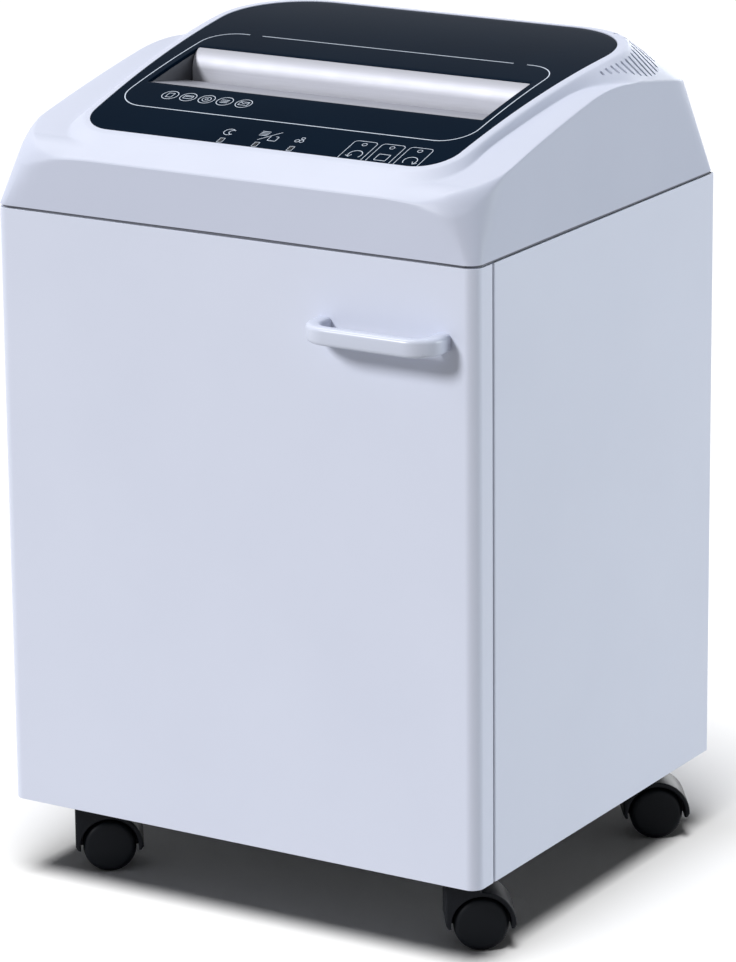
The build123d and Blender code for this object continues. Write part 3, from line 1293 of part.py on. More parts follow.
def rocker_frame():
    """Frame and body of the mains switch, hollow for the rocker, with a pivot pin across it."""
    dx = ROCKER_SIZE[0] / 2
    dz = ROCKER_SIZE[1] / 2
    rim = behind_back(ROCKER_X, dx + ROCKER_FRAME, dz + ROCKER_FRAME, POWER_FACE, POWER_FACE + ROCKER_RIM)
    hollow = behind_back(ROCKER_X, dx, dz, POWER_FACE - ROCKER_DEPTH + ROCKER_FRAME, BACK)
    pin = rod_x(ROCKER_PIN, ROCKER_X - dx - SEAT, ROCKER_X + dx + SEAT, ROCKER_Y, POWER_Z)
    return rocker_body(0) + rim - hollow + pin


def rocker_switch():
    """Rocker with a dished face, resting on its off side."""
    out, half = ROCKER_TIP
    tail, narrow = ROCKER_TAIL
    points = [(tail, -narrow), (out, -half), (ROCKER_DIP, 0), (out, half), (tail, narrow)]
    x1 = ROCKER_SIZE[0] / 2 - GAP
    rocker = along_x(Polygon(*points, align=None), -x1, x1)
    rocker -= rod_x(ROCKER_PIN + FIT, -ROCKER_SIZE[0], ROCKER_SIZE[0], 0, 0)
    return Pos(ROCKER_X, ROCKER_Y, POWER_Z) * Rot(-ROCKER_TILT, 0, 0) * rocker


def chassis_screws():
    """Screws through the feet of the side plates into the chassis plate."""
    seat = CHASSIS_TOP + FOOT_THICK
    return group([screw(x, y, seat, FOOT_THICK + 2 * PLATE, -1) for x, y in foot_screw_places()])


pieces = {
    "cabinet_shell": cabinet_shell(),
    "top_rail": top_rail(),
    "base_pan": base_pan(),
    "door_panel": door_panel(),
    "door_handle": door_handle(),
    "handle_screws": handle_screws(),
    "hinge_pins": hinge_pins(),
    "hinge_bushes": hinge_bushes(),
    "magnet_catch": magnet_catch(),
    "door_striker": door_striker(),
    "door_switch": door_switch(),
    "waste_bin": waste_bin(),
    "caster_plates": caster_plates(),
    "lid": lid(),
    "lid_screws": lid_screws(),
    "control_panel": control_panel(),
    "indicator_windows": indicator_windows(),
    "touch_board": touch_board(),
    "feed_guide": feed_guide(),
    "feed_lip": feed_lip(),
    "throat_cheeks": throat_cheeks(),
    "chassis_plate": chassis_plate(),
    "chassis_screws": chassis_screws(),
    "left_side_plate": side_plate(-1),
    "right_side_plate": side_plate(1),
    "tie_rods": tie_rods(),
    "roller_bushes": roller_bushes(),
    "front_roller": cutter_roller(FRONT_ROLLER_Y, DISC_SIDE, -PLATE_OUTER - GEAR_SIDE),
    "rear_roller": cutter_roller(REAR_ROLLER_Y, DISC_SIDE + DISC_PITCH / 2, DRIVE_X - GAP),
    "front_comb": stripper_comb(FRONT_ROLLER_Y, -1, DISC_SIDE),
    "rear_comb": stripper_comb(REAR_ROLLER_Y, 1, DISC_SIDE + DISC_PITCH / 2),
    "front_timing_gear": timing_gear(FRONT_ROLLER_Y, 0),
    "rear_timing_gear": timing_gear(REAR_ROLLER_Y, 180 + 180 / TIMING_TEETH),
    "drive_gear": drive_gear(),
    "cluster_gear": cluster_gear(),
    "gear_stud": gear_stud(),
    "motor_pinion": motor_pinion(),
    "motor_housing": motor_housing(),
    "motor_end_cap": motor_end_cap(),
    "motor_bearings": motor_races(),
    "motor_stator": motor_stator(),
    "motor_rotor": motor_rotor(),
    "motor_fan": motor_fan(),
    "motor_cradle": motor_cradle(),
    "run_capacitor": run_capacitor(),
    "power_board": power_board(),
    "paper_sensor": paper_sensor(),
    "bin_sensor": bin_sensor(),
    "power_plate": power_plate(),
    "mains_inlet": mains_inlet(),
    "rocker_frame": rocker_frame(),
    "rocker_switch": rocker_switch(),
}
for name, place in zip(CASTER_NAMES, caster_places()):
    pieces[f"{name}_caster_hood"] = caster_at(caster_hood(), place)
    pieces[f"{name}_caster_wheels"] = caster_at(caster_wheels(), place)

os.makedirs("parts", exist_ok=True)
for name, piece in pieces.items():
    export_step(piece, f"parts/{name}.step")
    print(name, len(piece.solids()))
print("cluster axis", CLUSTER_Y, CLUSTER_Z, "motor axis", MOTOR_Y, MOTOR_Z)
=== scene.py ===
# %% [markdown]
# # A paper shredder on casters
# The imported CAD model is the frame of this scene: it says where every piece is and how it moves.
# Blender adds what a drawing lacks: soft edges, printed marks, paint, moulded plastic and light.
# Everything is measured in millimetres here and turned into metres when a mesh is made.

# %% Load the frame
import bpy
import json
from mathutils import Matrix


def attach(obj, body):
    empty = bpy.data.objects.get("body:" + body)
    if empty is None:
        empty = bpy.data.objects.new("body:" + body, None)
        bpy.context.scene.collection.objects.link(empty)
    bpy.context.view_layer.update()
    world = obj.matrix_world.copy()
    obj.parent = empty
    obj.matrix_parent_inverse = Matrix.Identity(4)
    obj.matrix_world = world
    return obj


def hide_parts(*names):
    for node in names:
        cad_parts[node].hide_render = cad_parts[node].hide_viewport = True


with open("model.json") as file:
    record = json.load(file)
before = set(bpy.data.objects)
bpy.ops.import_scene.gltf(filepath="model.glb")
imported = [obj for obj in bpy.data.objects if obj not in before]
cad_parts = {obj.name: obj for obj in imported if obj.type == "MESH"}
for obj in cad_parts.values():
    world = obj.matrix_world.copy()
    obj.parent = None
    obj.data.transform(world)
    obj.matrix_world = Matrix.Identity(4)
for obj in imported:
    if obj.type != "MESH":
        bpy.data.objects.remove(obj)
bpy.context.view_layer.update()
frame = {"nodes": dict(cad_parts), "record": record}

# %% Main sizes
# Half the width, the front, the back, the underside and the top of the cabinet, the fold radius of its
# front corners, and the foot of the lid.
MM = 0.001
SIDE, FRONT, BACK, BASE, TOP, CORNER = 200.0, -176.75, 176.75, 61.0, 512.0, 9.5
LID_BASE = TOP + 2.2
print("cabinet", 2 * SIDE, BACK - FRONT, TOP - BASE, "mm")

# %% [markdown]
# ## Camera
# A product shot is taken from far away with a long lens, so that upright edges stay nearly parallel.
# The camera could be aimed by hand. Here its turn, tilt and roll were measured from the edges of the
# cabinet, and the three axes of its frame are worked out from those angles.

# %% Camera
import json
import math
import bpy
import numpy as np
from mathutils import Matrix, Vector

SCENE = bpy.context.scene
FOCAL, SIGHT_END = 181.03, 100
TURN, TILT, ROLL = 31.415, 16.145, -0.516
STAND = (1801.3, -2941.3, 1288.66)


def camera_axes(azimuth, elevation, roll):
    """Right, up and back vectors: turn about Z, tilt up, then roll about the line of sight."""
    a, e, r = np.radians([azimuth, elevation, roll])
    back = np.array([np.sin(a) * np.cos(e), -np.cos(a) * np.cos(e), np.sin(e)])
    right = np.array([np.cos(a), np.sin(a), 0])
    up = np.cross(back, right)
    return right * np.cos(r) + up * np.sin(r), up * np.cos(r) - right * np.sin(r), back


lens = bpy.data.cameras.new("studio_camera")
lens.lens = FOCAL
lens.clip_end = SIGHT_END
camera = bpy.data.objects.new("studio_camera", lens)
axes = Matrix(np.array(camera_axes(TURN, TILT, ROLL)).T.tolist()).to_4x4()
camera.matrix_world = Matrix.Translation(Vector(STAND) * MM) @ axes
SCENE.collection.objects.link(camera)
SCENE.camera = camera
print("camera", round(camera.location.length, 3), "m from the origin")

# %% [markdown]
# ## Studio light and floor
# The object stands on a white sweep under large soft lamps. Area lamps would fade with distance and
# leave a grey horizon, so wide suns are used. Four of them shape the object and pass the floor by; a
# fifth stands overhead and lights only the floor, so that the floor runs into the white background and
# keeps the shadow under the cabinet. The lamp from above is also kept off the silver guide in the slot,
# whose round top it would burn out. The sky and the floor throw little light back, so that forms keep
# their shade, but the camera and glossy surfaces see them white.

# %% Node helpers
SCENE.view_settings.view_transform = "Standard"


def wire(tree, source, target):
    """Link two sockets of a node tree."""
    tree.links.new(source, target)


def node(tree, kind, **values):
    """A shader node of a kind, with its input values set by name."""
    made = tree.nodes.new(kind)
    for name, value in values.items():
        made.inputs[name.replace("_", " ")].default_value = value
    return made


def maths(tree, operation, first, second):
    """A value worked out from two others, the second of which may be a plain number."""
    made = tree.nodes.new("ShaderNodeMath")
    made.operation = operation
    wire(tree, first, made.inputs[0])
    if isinstance(second, float):
        made.inputs[1].default_value = second
    else:
        wire(tree, second, made.inputs[1])
    return made.outputs[0]


def seen_level(tree, fill, seen):
    """The fill for rays that carry light; the other value for what is seen, also in a mirror or a window."""
    path = tree.nodes.new("ShaderNodeLightPath").outputs
    sight = path["Is Camera Ray"]
    for kind in ("Is Glossy Ray", "Is Transmission Ray"):
        sight = maths(tree, "MAXIMUM", sight, path[kind])
    unscattered = maths(tree, "LESS_THAN", path["Diffuse Depth"], 0.5)
    level = node(tree, "ShaderNodeMapRange", To_Min=fill, To_Max=seen)
    wire(tree, maths(tree, "MULTIPLY", sight, unscattered), level.inputs["Value"])
    return level.outputs["Result"]


print("view transform", SCENE.view_settings.view_transform)

# %% Sky and floor
SKY_FILL, SKY_SEEN, SKY_COLOUR = 0.08, 1.0, (0.98, 0.985, 1.0, 1)
FLOOR_FILL, FLOOR_SEEN, FLOOR_HALF = 0.34, 0.88, 40

world = bpy.data.worlds.new("white_sweep")
world.use_nodes = True
SCENE.world = world
sky = world.node_tree
wire(sky, seen_level(sky, SKY_FILL, SKY_SEEN), sky.nodes["Background"].inputs["Strength"])
sky.nodes["Background"].inputs["Color"].default_value = SKY_COLOUR

floor_mesh = bpy.data.meshes.new("floor_sweep")
corners = [(x * FLOOR_HALF, y * FLOOR_HALF, 0) for x, y in ((-1, -1), (1, -1), (1, 1), (-1, 1))]
floor_mesh.from_pydata(corners, [], [(0, 1, 2, 3)])
floor = bpy.data.objects.new("floor_sweep", floor_mesh)
SCENE.collection.objects.link(floor)
paper = bpy.data.materials.new("white_floor")
paper.use_nodes = True
sheet = paper.node_tree.nodes["Principled BSDF"]
sheet.inputs["Roughness"].default_value = 0.9
sheet.inputs["Specular IOR Level"].default_value = 0.0
wire(paper.node_tree, seen_level(paper.node_tree, FLOOR_FILL, FLOOR_SEEN), sheet.inputs["Base Color"])
floor_mesh.materials.append(paper)
print("floor", 2 * FLOOR_HALF, "m wide")

# %% Lamps


def sun(name, towards, strength, spread, colour, lit):
    """A distant lamp in a given direction, its soft edge given as an angle, that lights one group."""
    lamp = bpy.data.lights.new(name, "SUN")
    lamp.energy = strength
    lamp.angle = math.radians(spread)
    lamp.color = colour
    holder = bpy.data.objects.new(name, lamp)
    holder.rotation_euler = Vector(towards).to_track_quat("Z", "Y").to_euler()
    holder.light_linking.receiver_collection = lit
    SCENE.collection.objects.link(holder)


def keep_off(lit, made):
    """Takes one object out of what a lamp's group lights."""
    lit.objects.link(made)
    lit.collection_objects[-1].light_linking.link_state = "EXCLUDE"


only_floor = bpy.data.collections.new("only_floor")
only_floor.objects.link(floor)
not_floor = bpy.data.collections.new("not_floor")
not_throat = bpy.data.collections.new("not_throat")
keep_off(not_floor, floor)
keep_off(not_throat, floor)
# Name, direction towards the lamp, strength, spread in degrees, colour and what it lights.
sun("front_lamp", (-0.42, -0.78, 0.56), 2.55, 14, (0.99, 0.99, 1.0), not_floor)
sun("side_lamp", (0.86, 0.50, 0.15), 2.03, 30, (0.90, 0.96, 1.0), not_floor)
sun("top_lamp", (-0.5, 0.15, 0.85), 1.9, 40, (1.0, 1.0, 1.0), not_throat)
sun("back_lamp", (-0.1, 1.0, 0.2), 0.9, 30, (0.96, 0.98, 1.0), not_floor)
sun("floor_lamp", (0.05, -0.25, 1.0), 3.8, 30, (1.0, 1.0, 1.0), only_floor)
print("lamps", len(bpy.data.lights))

# %% [markdown]
# ## Finishes
# A paint or a plastic is never one flat colour: it has a faint cloud in its tone, a grain that breaks up
# the highlight and a shine that changes a little from place to place. Pictures could be wrapped round the
# pieces, but noise on Object coordinates needs no unwrapping and keeps its true scale on every piece.
# These coordinates are in metres. The lid's finish carries painted shade in the seam over the cabinet: it is
# darkened there because the seam lies in deep shade.

# %% Finish helpers
FINISHES = {}
NOISE_LOW, NOISE_HIGH = 0.3, 0.7


def start_finish(name, metallic=0.0, **values):
    """A material with its shader, and the place of a surface point in metres."""
    made = bpy.data.materials.new(name)
    made.use_nodes = True
    tree = made.node_tree
    shader = tree.nodes["Principled BSDF"]
    shader.inputs["Metallic"].default_value = metallic
    for key, value in values.items():
        shader.inputs[key.replace("_", " ")].default_value = value
    place = tree.nodes.new("ShaderNodeTexCoord").outputs["Object"]
    FINISHES[name] = made
    return tree, shader, place


def cloud(tree, place, scale, detail=4.0, stretch=(1, 1, 1)):
    """Noise of a scale per metre, drawn out along an axis by a small stretch value."""
    mapping = node(tree, "ShaderNodeMapping", Scale=stretch)
    wire(tree, place, mapping.inputs["Vector"])
    made = node(tree, "ShaderNodeTexNoise", Scale=scale, Detail=detail)
    wire(tree, mapping.outputs["Vector"], made.inputs["Vector"])
    return made.outputs["Fac"]


def tint(tree, shader, amount, dark, light):
    """Base colour that runs between two tones with the amount."""
    ramp = tree.nodes.new("ShaderNodeValToRGB")
    for stop, place, tone in zip(ramp.color_ramp.elements, (NOISE_LOW, NOISE_HIGH), (dark, light)):
        stop.position = place
        stop.color = (*tone, 1)
    wire(tree, amount, ramp.inputs["Fac"])
    wire(tree, ramp.outputs["Color"], shader.inputs["Base Color"])
    return ramp.outputs["Color"]


def shine(tree, shader, amount, low, high):
    """Roughness that runs between two values with the amount."""
    span = node(tree, "ShaderNodeMapRange", From_Min=NOISE_LOW, From_Max=NOISE_HIGH, To_Min=low, To_Max=high)
    wire(tree, amount, span.inputs["Value"])
    wire(tree, span.outputs["Result"], shader.inputs["Roughness"])


def relief(tree, shader, amount, depth):
    """Fine relief, its depth in metres."""
    bump = node(tree, "ShaderNodeBump", Strength=1.0, Distance=depth)
    wire(tree, amount, bump.inputs["Height"])
    wire(tree, bump.outputs["Normal"], shader.inputs["Normal"])


print("noise is used from", NOISE_LOW, "to", NOISE_HIGH)

# %% Kinds of finish
# Painted shade in the seam: the height over which it fades in, and the share of the colour left there.
SEAM_FADE, SEAM_PAINTED_SHADE = 0.0001, 0.24


def moulded(name, dark, light, grain, depth, low, high, **values):
    """Paint or plastic: slow clouds in the tone and the shine, a fine grain in the relief."""
    tree, shader, place = start_finish(name, **values)
    colour = tint(tree, shader, cloud(tree, place, scale=9), dark, light)
    shine(tree, shader, cloud(tree, place, scale=14), low, high)
    relief(tree, shader, cloud(tree, place, grain, detail=2), depth)
    return tree, shader, place, colour


def painted_shade_below(tree, shader, place, colour, height, share):
    """Painted shade: darkens a finish to a share of its colour below a height in metres, for the deep shade
    in a seam.
    """
    split = tree.nodes.new("ShaderNodeSeparateXYZ")
    wire(tree, place, split.inputs[0])
    level = node(tree, "ShaderNodeMapRange", From_Min=height - SEAM_FADE, From_Max=height, To_Min=share,
                 To_Max=1.0)
    wire(tree, split.outputs["Z"], level.inputs["Value"])
    scaled = tree.nodes.new("ShaderNodeVectorMath")
    scaled.operation = "SCALE"
    wire(tree, colour, scaled.inputs[0])
    wire(tree, level.outputs["Result"], scaled.inputs["Scale"])
    wire(tree, scaled.outputs[0], shader.inputs["Base Color"])


def machined(name, dark, light, stretch, low, high, depth=0.00002, metallic=1.0):
    """Metal, or metal under a lacquer: streaks along the way it was rolled or turned."""
    tree, shader, place = start_finish(name, metallic)
    streaks = cloud(tree, place, scale=900, detail=3, stretch=stretch)
    tint(tree, shader, streaks, dark, light)
    shine(tree, shader, cloud(tree, place, scale=60), low, high)
    relief(tree, shader, streaks, depth)


print("seam fades within", round(SEAM_FADE / MM, 3), "mm")

# %% Paint and plastic
# Name, dark and light tone, grains to the metre, their depth, lowest and highest roughness.
moulded("cabinet_paint", (0.695, 0.735, 0.865), (0.715, 0.755, 0.885), 1400, 0.00003, 0.34, 0.42)
lid_finish = moulded("lid_plastic", (0.56, 0.595, 0.715), (0.58, 0.615, 0.735), 2200, 0.000004, 0.42, 0.47,
                     Specular_IOR_Level=0.3)
# Painted shade: the lid's tongue below its foot is darkened, for the deep shade in the seam over the cabinet.
painted_shade_below(*lid_finish, LID_BASE * MM, SEAM_PAINTED_SHADE)
moulded("handle_finish", (0.62, 0.66, 0.78), (0.64, 0.68, 0.80), 1500, 0.000004, 0.24, 0.32)
moulded("cheek_plastic", (0.07, 0.075, 0.09), (0.09, 0.095, 0.11), 1800, 0.00004, 0.42, 0.55)
moulded("bin_plastic", (0.022, 0.024, 0.028), (0.032, 0.034, 0.04), 1500, 0.00006, 0.45, 0.6)
moulded("black_plastic", (0.014, 0.015, 0.018), (0.022, 0.023, 0.027), 1600, 0.00005, 0.4, 0.55)
moulded("caster_plastic", (0.004, 0.005, 0.007), (0.007, 0.008, 0.011), 1700, 0.00003, 0.36, 0.5,
        Specular_IOR_Level=0.1)
moulded("wheel_tread", (0.003, 0.004, 0.006), (0.006, 0.007, 0.009), 1100, 0.00003, 0.42, 0.58,
        Specular_IOR_Level=0.1)
moulded("panel_film", (0.0007, 0.006, 0.016), (0.0011, 0.008, 0.020), 2600, 0.000004, 0.16, 0.2,
        Specular_IOR_Level=0.005)
moulded("panel_ink", (0.60, 0.67, 0.78), (0.66, 0.73, 0.84), 3000, 0.000004, 0.5, 0.6,
        Specular_IOR_Level=0.1)
print("paints and plastics", len(FINISHES))

# %% Metal
# Name, dark and light tone, how streaks are drawn out, lowest and highest roughness, depth and metal share.
machined("guide_silver", (0.56, 0.57, 0.63), (0.59, 0.60, 0.66), (0.02, 1, 1), 0.6, 0.64, 0.000002, 0.5)
# The ramp's silver is a darker copy of the guide's: painted shade for the ramp down in the throat.
machined("ramp_shaded_silver", (0.22, 0.225, 0.26), (0.25, 0.255, 0.29), (0.02, 1, 1), 0.5, 0.56, 0.000002)
machined("zinc_sheet", (0.52, 0.54, 0.56), (0.62, 0.63, 0.65), (0.3, 0.3, 1), 0.36, 0.55)
machined("cutter_steel", (0.36, 0.37, 0.39), (0.48, 0.49, 0.51), (0.05, 1, 1), 0.22, 0.38)
machined("bush_bronze", (0.45, 0.28, 0.12), (0.58, 0.38, 0.18), (0.4, 1, 1), 0.3, 0.45)
machined("motor_alloy", (0.46, 0.47, 0.48), (0.56, 0.57, 0.58), (1, 1, 1), 0.42, 0.6, 0.00006)
machined("screw_steel", (0.50, 0.50, 0.51), (0.62, 0.62, 0.63), (1, 1, 0.1), 0.25, 0.4)
print("with metals", len(FINISHES))

# %% Board and window
tree, shader, place = start_finish("board_green")
tracks = cloud(tree, place, scale=420, detail=1, stretch=(1, 0.2, 1))
tint(tree, shader, tracks, (0.012, 0.10, 0.035), (0.03, 0.19, 0.07))
shine(tree, shader, cloud(tree, place, scale=90), 0.25, 0.4)
tree, shader, place = start_finish("window_clear", Specular_IOR_Level=0.04)
tint(tree, shader, cloud(tree, place, scale=700), (0.010, 0.014, 0.02), (0.02, 0.026, 0.034))
shine(tree, shader, cloud(tree, place, scale=300), 0.08, 0.16)

for part in frame["record"]["subparts"]:
    mesh = frame["nodes"][part["node"]].data
    mesh.materials.clear()
    mesh.materials.append(FINISHES[part["material_slot"]])
print("finishes", len(FINISHES))

# %% [markdown]
# ## Meshes from arrays
# A surface is a grid of points, worked out for all its parameters at once. Blender could add such points
# one by one, but whole arrays are quicker and read like the formula. The helpers join the points to quads,
# turn every closed shell so that its faces look outwards, and hand the piece to the body it moves with.

# %% Grids and shells


def quads(rows, columns, round_rows=True):
    """Faces of a point grid: each point, its neighbour in the row, and the two below them."""
    r = np.arange(rows if round_rows else rows - 1)[:, None]
    c = np.arange(columns)[None, :]
    down, beside = (r + 1) % rows, (c + 1) % columns
    faces = [r * columns + c, r * columns + beside, down * columns + beside, down * columns + c]
    return np.stack(np.broadcast_arrays(*faces), -1).reshape(-1, 4)


def outward(points, faces):
    """Turns a shell so that the sum of a . (b x c) over its triangles, its volume, is above zero."""
    volume = 0.0
    for face in faces:
        a, b, c = points[face[:, 0]], points[face[:, 1:-1]], points[face[:, 2:]]
        volume += np.einsum("ik,ijk->", a, np.cross(b, c))
    return points, faces if volume > 0 else [face[:, ::-1] for face in faces]


def ring_shell(grid):
    """Closed shell of a grid that runs round in both directions."""
    rows, columns = grid.shape[:2]
    return outward(grid.reshape(-1, 3), [quads(rows, columns)])


def tube_shell(grid):
    """Closed shell of rings along a path, with a flat face on the first and the last ring."""
    rows, columns = grid.shape[:2]
    ends = np.stack([np.arange(columns)[::-1], np.arange(columns) + (rows - 1) * columns])
    return outward(grid.reshape(-1, 3), [quads(rows, columns, round_rows=False), ends])


print("a round grid of 3 x 4 points has", len(quads(3, 4)), "faces")

# %% Pieces


def shell_mesh(name, shells):
    """One mesh of several shells, in metres."""
    points, faces, start = [], [], 0
    for shell_points, shell_faces in shells:
        points.append(shell_points)
        faces += [row for group in shell_faces for row in (group + start).tolist()]
        start += len(shell_points)
    mesh = bpy.data.meshes.new(name)
    mesh.from_pydata((np.concatenate(points) * MM).tolist(), [], faces)
    return mesh


def shade(mesh, crease):
    """Smooth shading, with an edge kept sharp where its faces turn by more than the crease."""
    mesh.polygons.foreach_set("use_smooth", np.ones(len(mesh.polygons), bool))
    mesh.set_sharp_from_angle(angle=math.radians(crease))


def make_piece(name, shells, body, slot, finish=None, crease=35, replaces=()):
    """A mesh of shells with its finish; it rides on a body and may stand for CAD nodes."""
    mesh = shell_mesh(name, shells)
    shade(mesh, crease)
    mesh.materials.append(FINISHES[finish or slot])
    made = bpy.data.objects.new(name, mesh)
    SCENE.collection.objects.link(made)
    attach(made, body)
    if replaces:
        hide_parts(*replaces)
    print(name, len(mesh.vertices), "points", len(mesh.polygons), "faces")
    return made


# %% [markdown]
# ## Lid
# The lid is one moulding: drafted walls, a brim that rises towards the back, and a raised island with a
# narrow rim round the panel. Cutting and rounding such a form edge by edge is slow. Here each form is a
# distance, below zero inside, and two formulas put a radius where forms meet or join. A fan of rays from
# below the rim then finds the skin, and more rays are spent where the skin turns.

# %% Sizes of the lid
# Walls: draft, and how the corner radius grows for each step up, at the front and at the back.
SIDE_DRAFT, FRONT_DRAFT = 0.0885, 0.103
FRONT_GROWTH, BACK_GROWTH = 0.72, 0.51
# Panel: plan, thickness, and the centre and radius of its arc in the side view.
PANEL_FRONT, PANEL_BACK = -141.5, 137.0
FRONT_HALF, BACK_HALF = 151.1, 167.7
FRONT_RADIUS, BACK_RADIUS = 28.0, 62.0
PANEL_CORNERS = [(-FRONT_HALF, PANEL_FRONT), (FRONT_HALF, PANEL_FRONT), (BACK_HALF, PANEL_BACK),
                 (-BACK_HALF, PANEL_BACK)]
PANEL_RADII = [FRONT_RADIUS, FRONT_RADIUS, BACK_RADIUS, BACK_RADIUS]
PANEL_THICK = 2.5
PANEL_ARC_Y, PANEL_ARC_Z, PANEL_ARC = 204.57, TOP + 90.5 - 1190.55, 1208.0
# Brim: ends of its parts, as the way from the front and the height over the cabinet.
ROLL_END, RISE_END, CREST_END, TAIL_END = (26.75, 51.0), (171.75, 83.7), (251.75, 84.4), (355.0, 68.4)
# Rim round the panel, its lip and softness, and where the shoulder behind the slot takes over.
RIM, LIP, RIM_SOFT = 6.0, 0.5, 1.5
SHOULDER_START, SHOULDER_LENGTH = 20, 55
# Flank of the island: its run for a step down beside the slot, and what is added in front and behind.
FLANK_RUN, FRONT_RUN, REAR_RUN = 0.5, 3.4, 0.8
# Radius of the inner join and of the outer crease, which grows towards the front corners.
JOIN_RADIUS, CREASE_RADIUS, CORNER_CREASE = 0.6, 0.9, 11
CORNER_X, CORNER_Y, CORNER_BLEND = 150, 125, 40
print("panel", PANEL_BACK - PANEL_FRONT, "mm long,", 2 * BACK_HALF, "mm wide at the back")

# %% Heights and plans


def round_meet(a, b, radius):
    """Overlap of two solids: the larger distance, its outer edge rounded with the radius."""
    outer = np.hypot(np.maximum(a + radius, 0), np.maximum(b + radius, 0))
    return np.minimum(np.maximum(a, b), -radius) + outer


def round_join(a, b, radius):
    """Two solids together: the smaller distance, its inner corner filled with the radius."""
    inner = np.hypot(np.maximum(radius - a, 0), np.maximum(radius - b, 0))
    return np.maximum(np.minimum(a, b), radius) - inner


def panel_height(y):
    """Arc of the panel in the side view."""
    return PANEL_ARC_Z + np.sqrt(PANEL_ARC ** 2 - (y - PANEL_ARC_Y) ** 2)


def panel_distance(x, y):
    """Distance outside the panel's plan: slanted sides, with the front and back corners rounded."""
    lean = (BACK_HALF - FRONT_HALF) / (PANEL_BACK - PANEL_FRONT)
    side = (np.abs(x) - FRONT_HALF - (y - PANEL_FRONT) * lean) / math.hypot(1, lean)
    return round_meet(round_meet(side, PANEL_FRONT - y, FRONT_RADIUS), y - PANEL_BACK, BACK_RADIUS)


def circle_height(y, p, q, r):
    """Upper half of the circle through three points of (y, z)."""
    (a, b), (c, d), (e, f) = p, q, r
    grid = 2 * np.array([[c - a, d - b], [e - a, f - b]])
    cy, cz = np.linalg.solve(grid, [c * c + d * d - a * a - b * b, e * e + f * f - a * a - b * b])
    return cz + np.sqrt(np.maximum((a - cy) ** 2 + (b - cz) ** 2 - (y - cy) ** 2, 0))


def brim_height(y):
    """Brim in the side view: a rolled front edge, a straight rise, a long crest and a falling tail."""
    u = y - FRONT
    roll = circle_height(u, (-1.25, 33.5), (10.75, 45.2), ROLL_END)
    rise = circle_height(u, ROLL_END, (99.75, 69.0), RISE_END)
    crest = circle_height(u, RISE_END, (212.75, 87.8), CREST_END)
    fall = (TAIL_END[1] - CREST_END[1]) / (TAIL_END[0] - CREST_END[0])
    tail = CREST_END[1] + (u - CREST_END[0]) * fall
    return TOP + np.select([u < ROLL_END[0], u < RISE_END[0], u < CREST_END[0]], [roll, rise, crest], tail)


print("panel rises from", round(panel_height(PANEL_FRONT), 1), "to", round(panel_height(PANEL_BACK), 1), "mm")

# %% Distance of the lid


def rises(value, start, length):
    """0 up to the start, 1 past the length, and a straight rise between them."""
    return np.clip((value - start) / length, 0, 1)


def flank_run(y):
    """Run of the island's flank for a step down: long at the front, steep beside the slot, easier behind."""
    return FLANK_RUN + FRONT_RUN * rises(-y, 82, 81) ** 2 + REAR_RUN * rises(y, -60, 120) ** 2


def lid_distance(p, wall, drop):
    """Drafted block, cut under the brim joined with the island; all moved in by the wall.

    The island falls from the panel's rim by its flank; behind the slot a shoulder takes over, which falls
    by the share of the way from the rim to the wall, so that it meets the wall at the brim's height.
    """
    x, y, z = p[..., 0], p[..., 1], p[..., 2]
    rise = z - LID_BASE
    half = SIDE - wall - SIDE_DRAFT * rise
    front, back = FRONT + wall + FRONT_DRAFT * rise, BACK - wall - SIDE_DRAFT * rise
    corner = np.maximum(CORNER + np.where(y < 0, FRONT_GROWTH, BACK_GROWTH) * rise - wall, 1)
    block = round_meet(np.abs(x) - half, np.abs(y - (front + back) / 2) - (back - front) / 2, corner)
    slope = (brim_height(y + 0.05) - brim_height(y - 0.05)) / 0.1
    brim = (z - brim_height(y) + wall) / np.sqrt(1 + slope ** 2)
    out = panel_distance(x, y) - RIM
    out = (out + np.hypot(out, RIM_SOFT)) / 2
    run = flank_run(y)
    shoulder = (panel_height(y) - brim_height(y)) * out / np.maximum(out - block, 1)
    rear = rises(y, SHOULDER_START, SHOULDER_LENGTH)
    fallen = (1 - rear) * out / run + rear * shoulder
    under = z - panel_height(y) - LIP
    island = np.maximum((under + fallen) / np.hypot(1, 1 / run) + wall, under + drop)
    at_corner = rises(np.abs(x), CORNER_X, CORNER_BLEND) * rises(-y, CORNER_Y, CORNER_BLEND)
    crease = CREASE_RADIUS + CORNER_CREASE * at_corner
    return round_meet(block, round_join(brim, island, JOIN_RADIUS), crease)


print("side walls lean", round(math.degrees(math.atan(SIDE_DRAFT)), 1), "degrees")

# %% Rays
REACH, HALVINGS = 260.0, 34
STEP_LENGTH, STEP_TURN = 6.0, 6.0


def cast(origin, ahead, angle, wall, drop):
    """Where rays leave the lid: halving of the reach, for all rays at once."""
    way = ahead * np.cos(angle)[..., None] + np.array([0, 0, 1]) * np.sin(angle)[..., None]
    near, far = np.zeros(angle.shape), np.full(angle.shape, REACH)
    for _ in range(HALVINGS):
        reach = (near + far) / 2
        inside = lid_distance(origin + way * reach[..., None], wall, drop) < 0
        near, far = np.where(inside, reach, near), np.where(inside, far, reach)
    return origin + way * near[..., None]


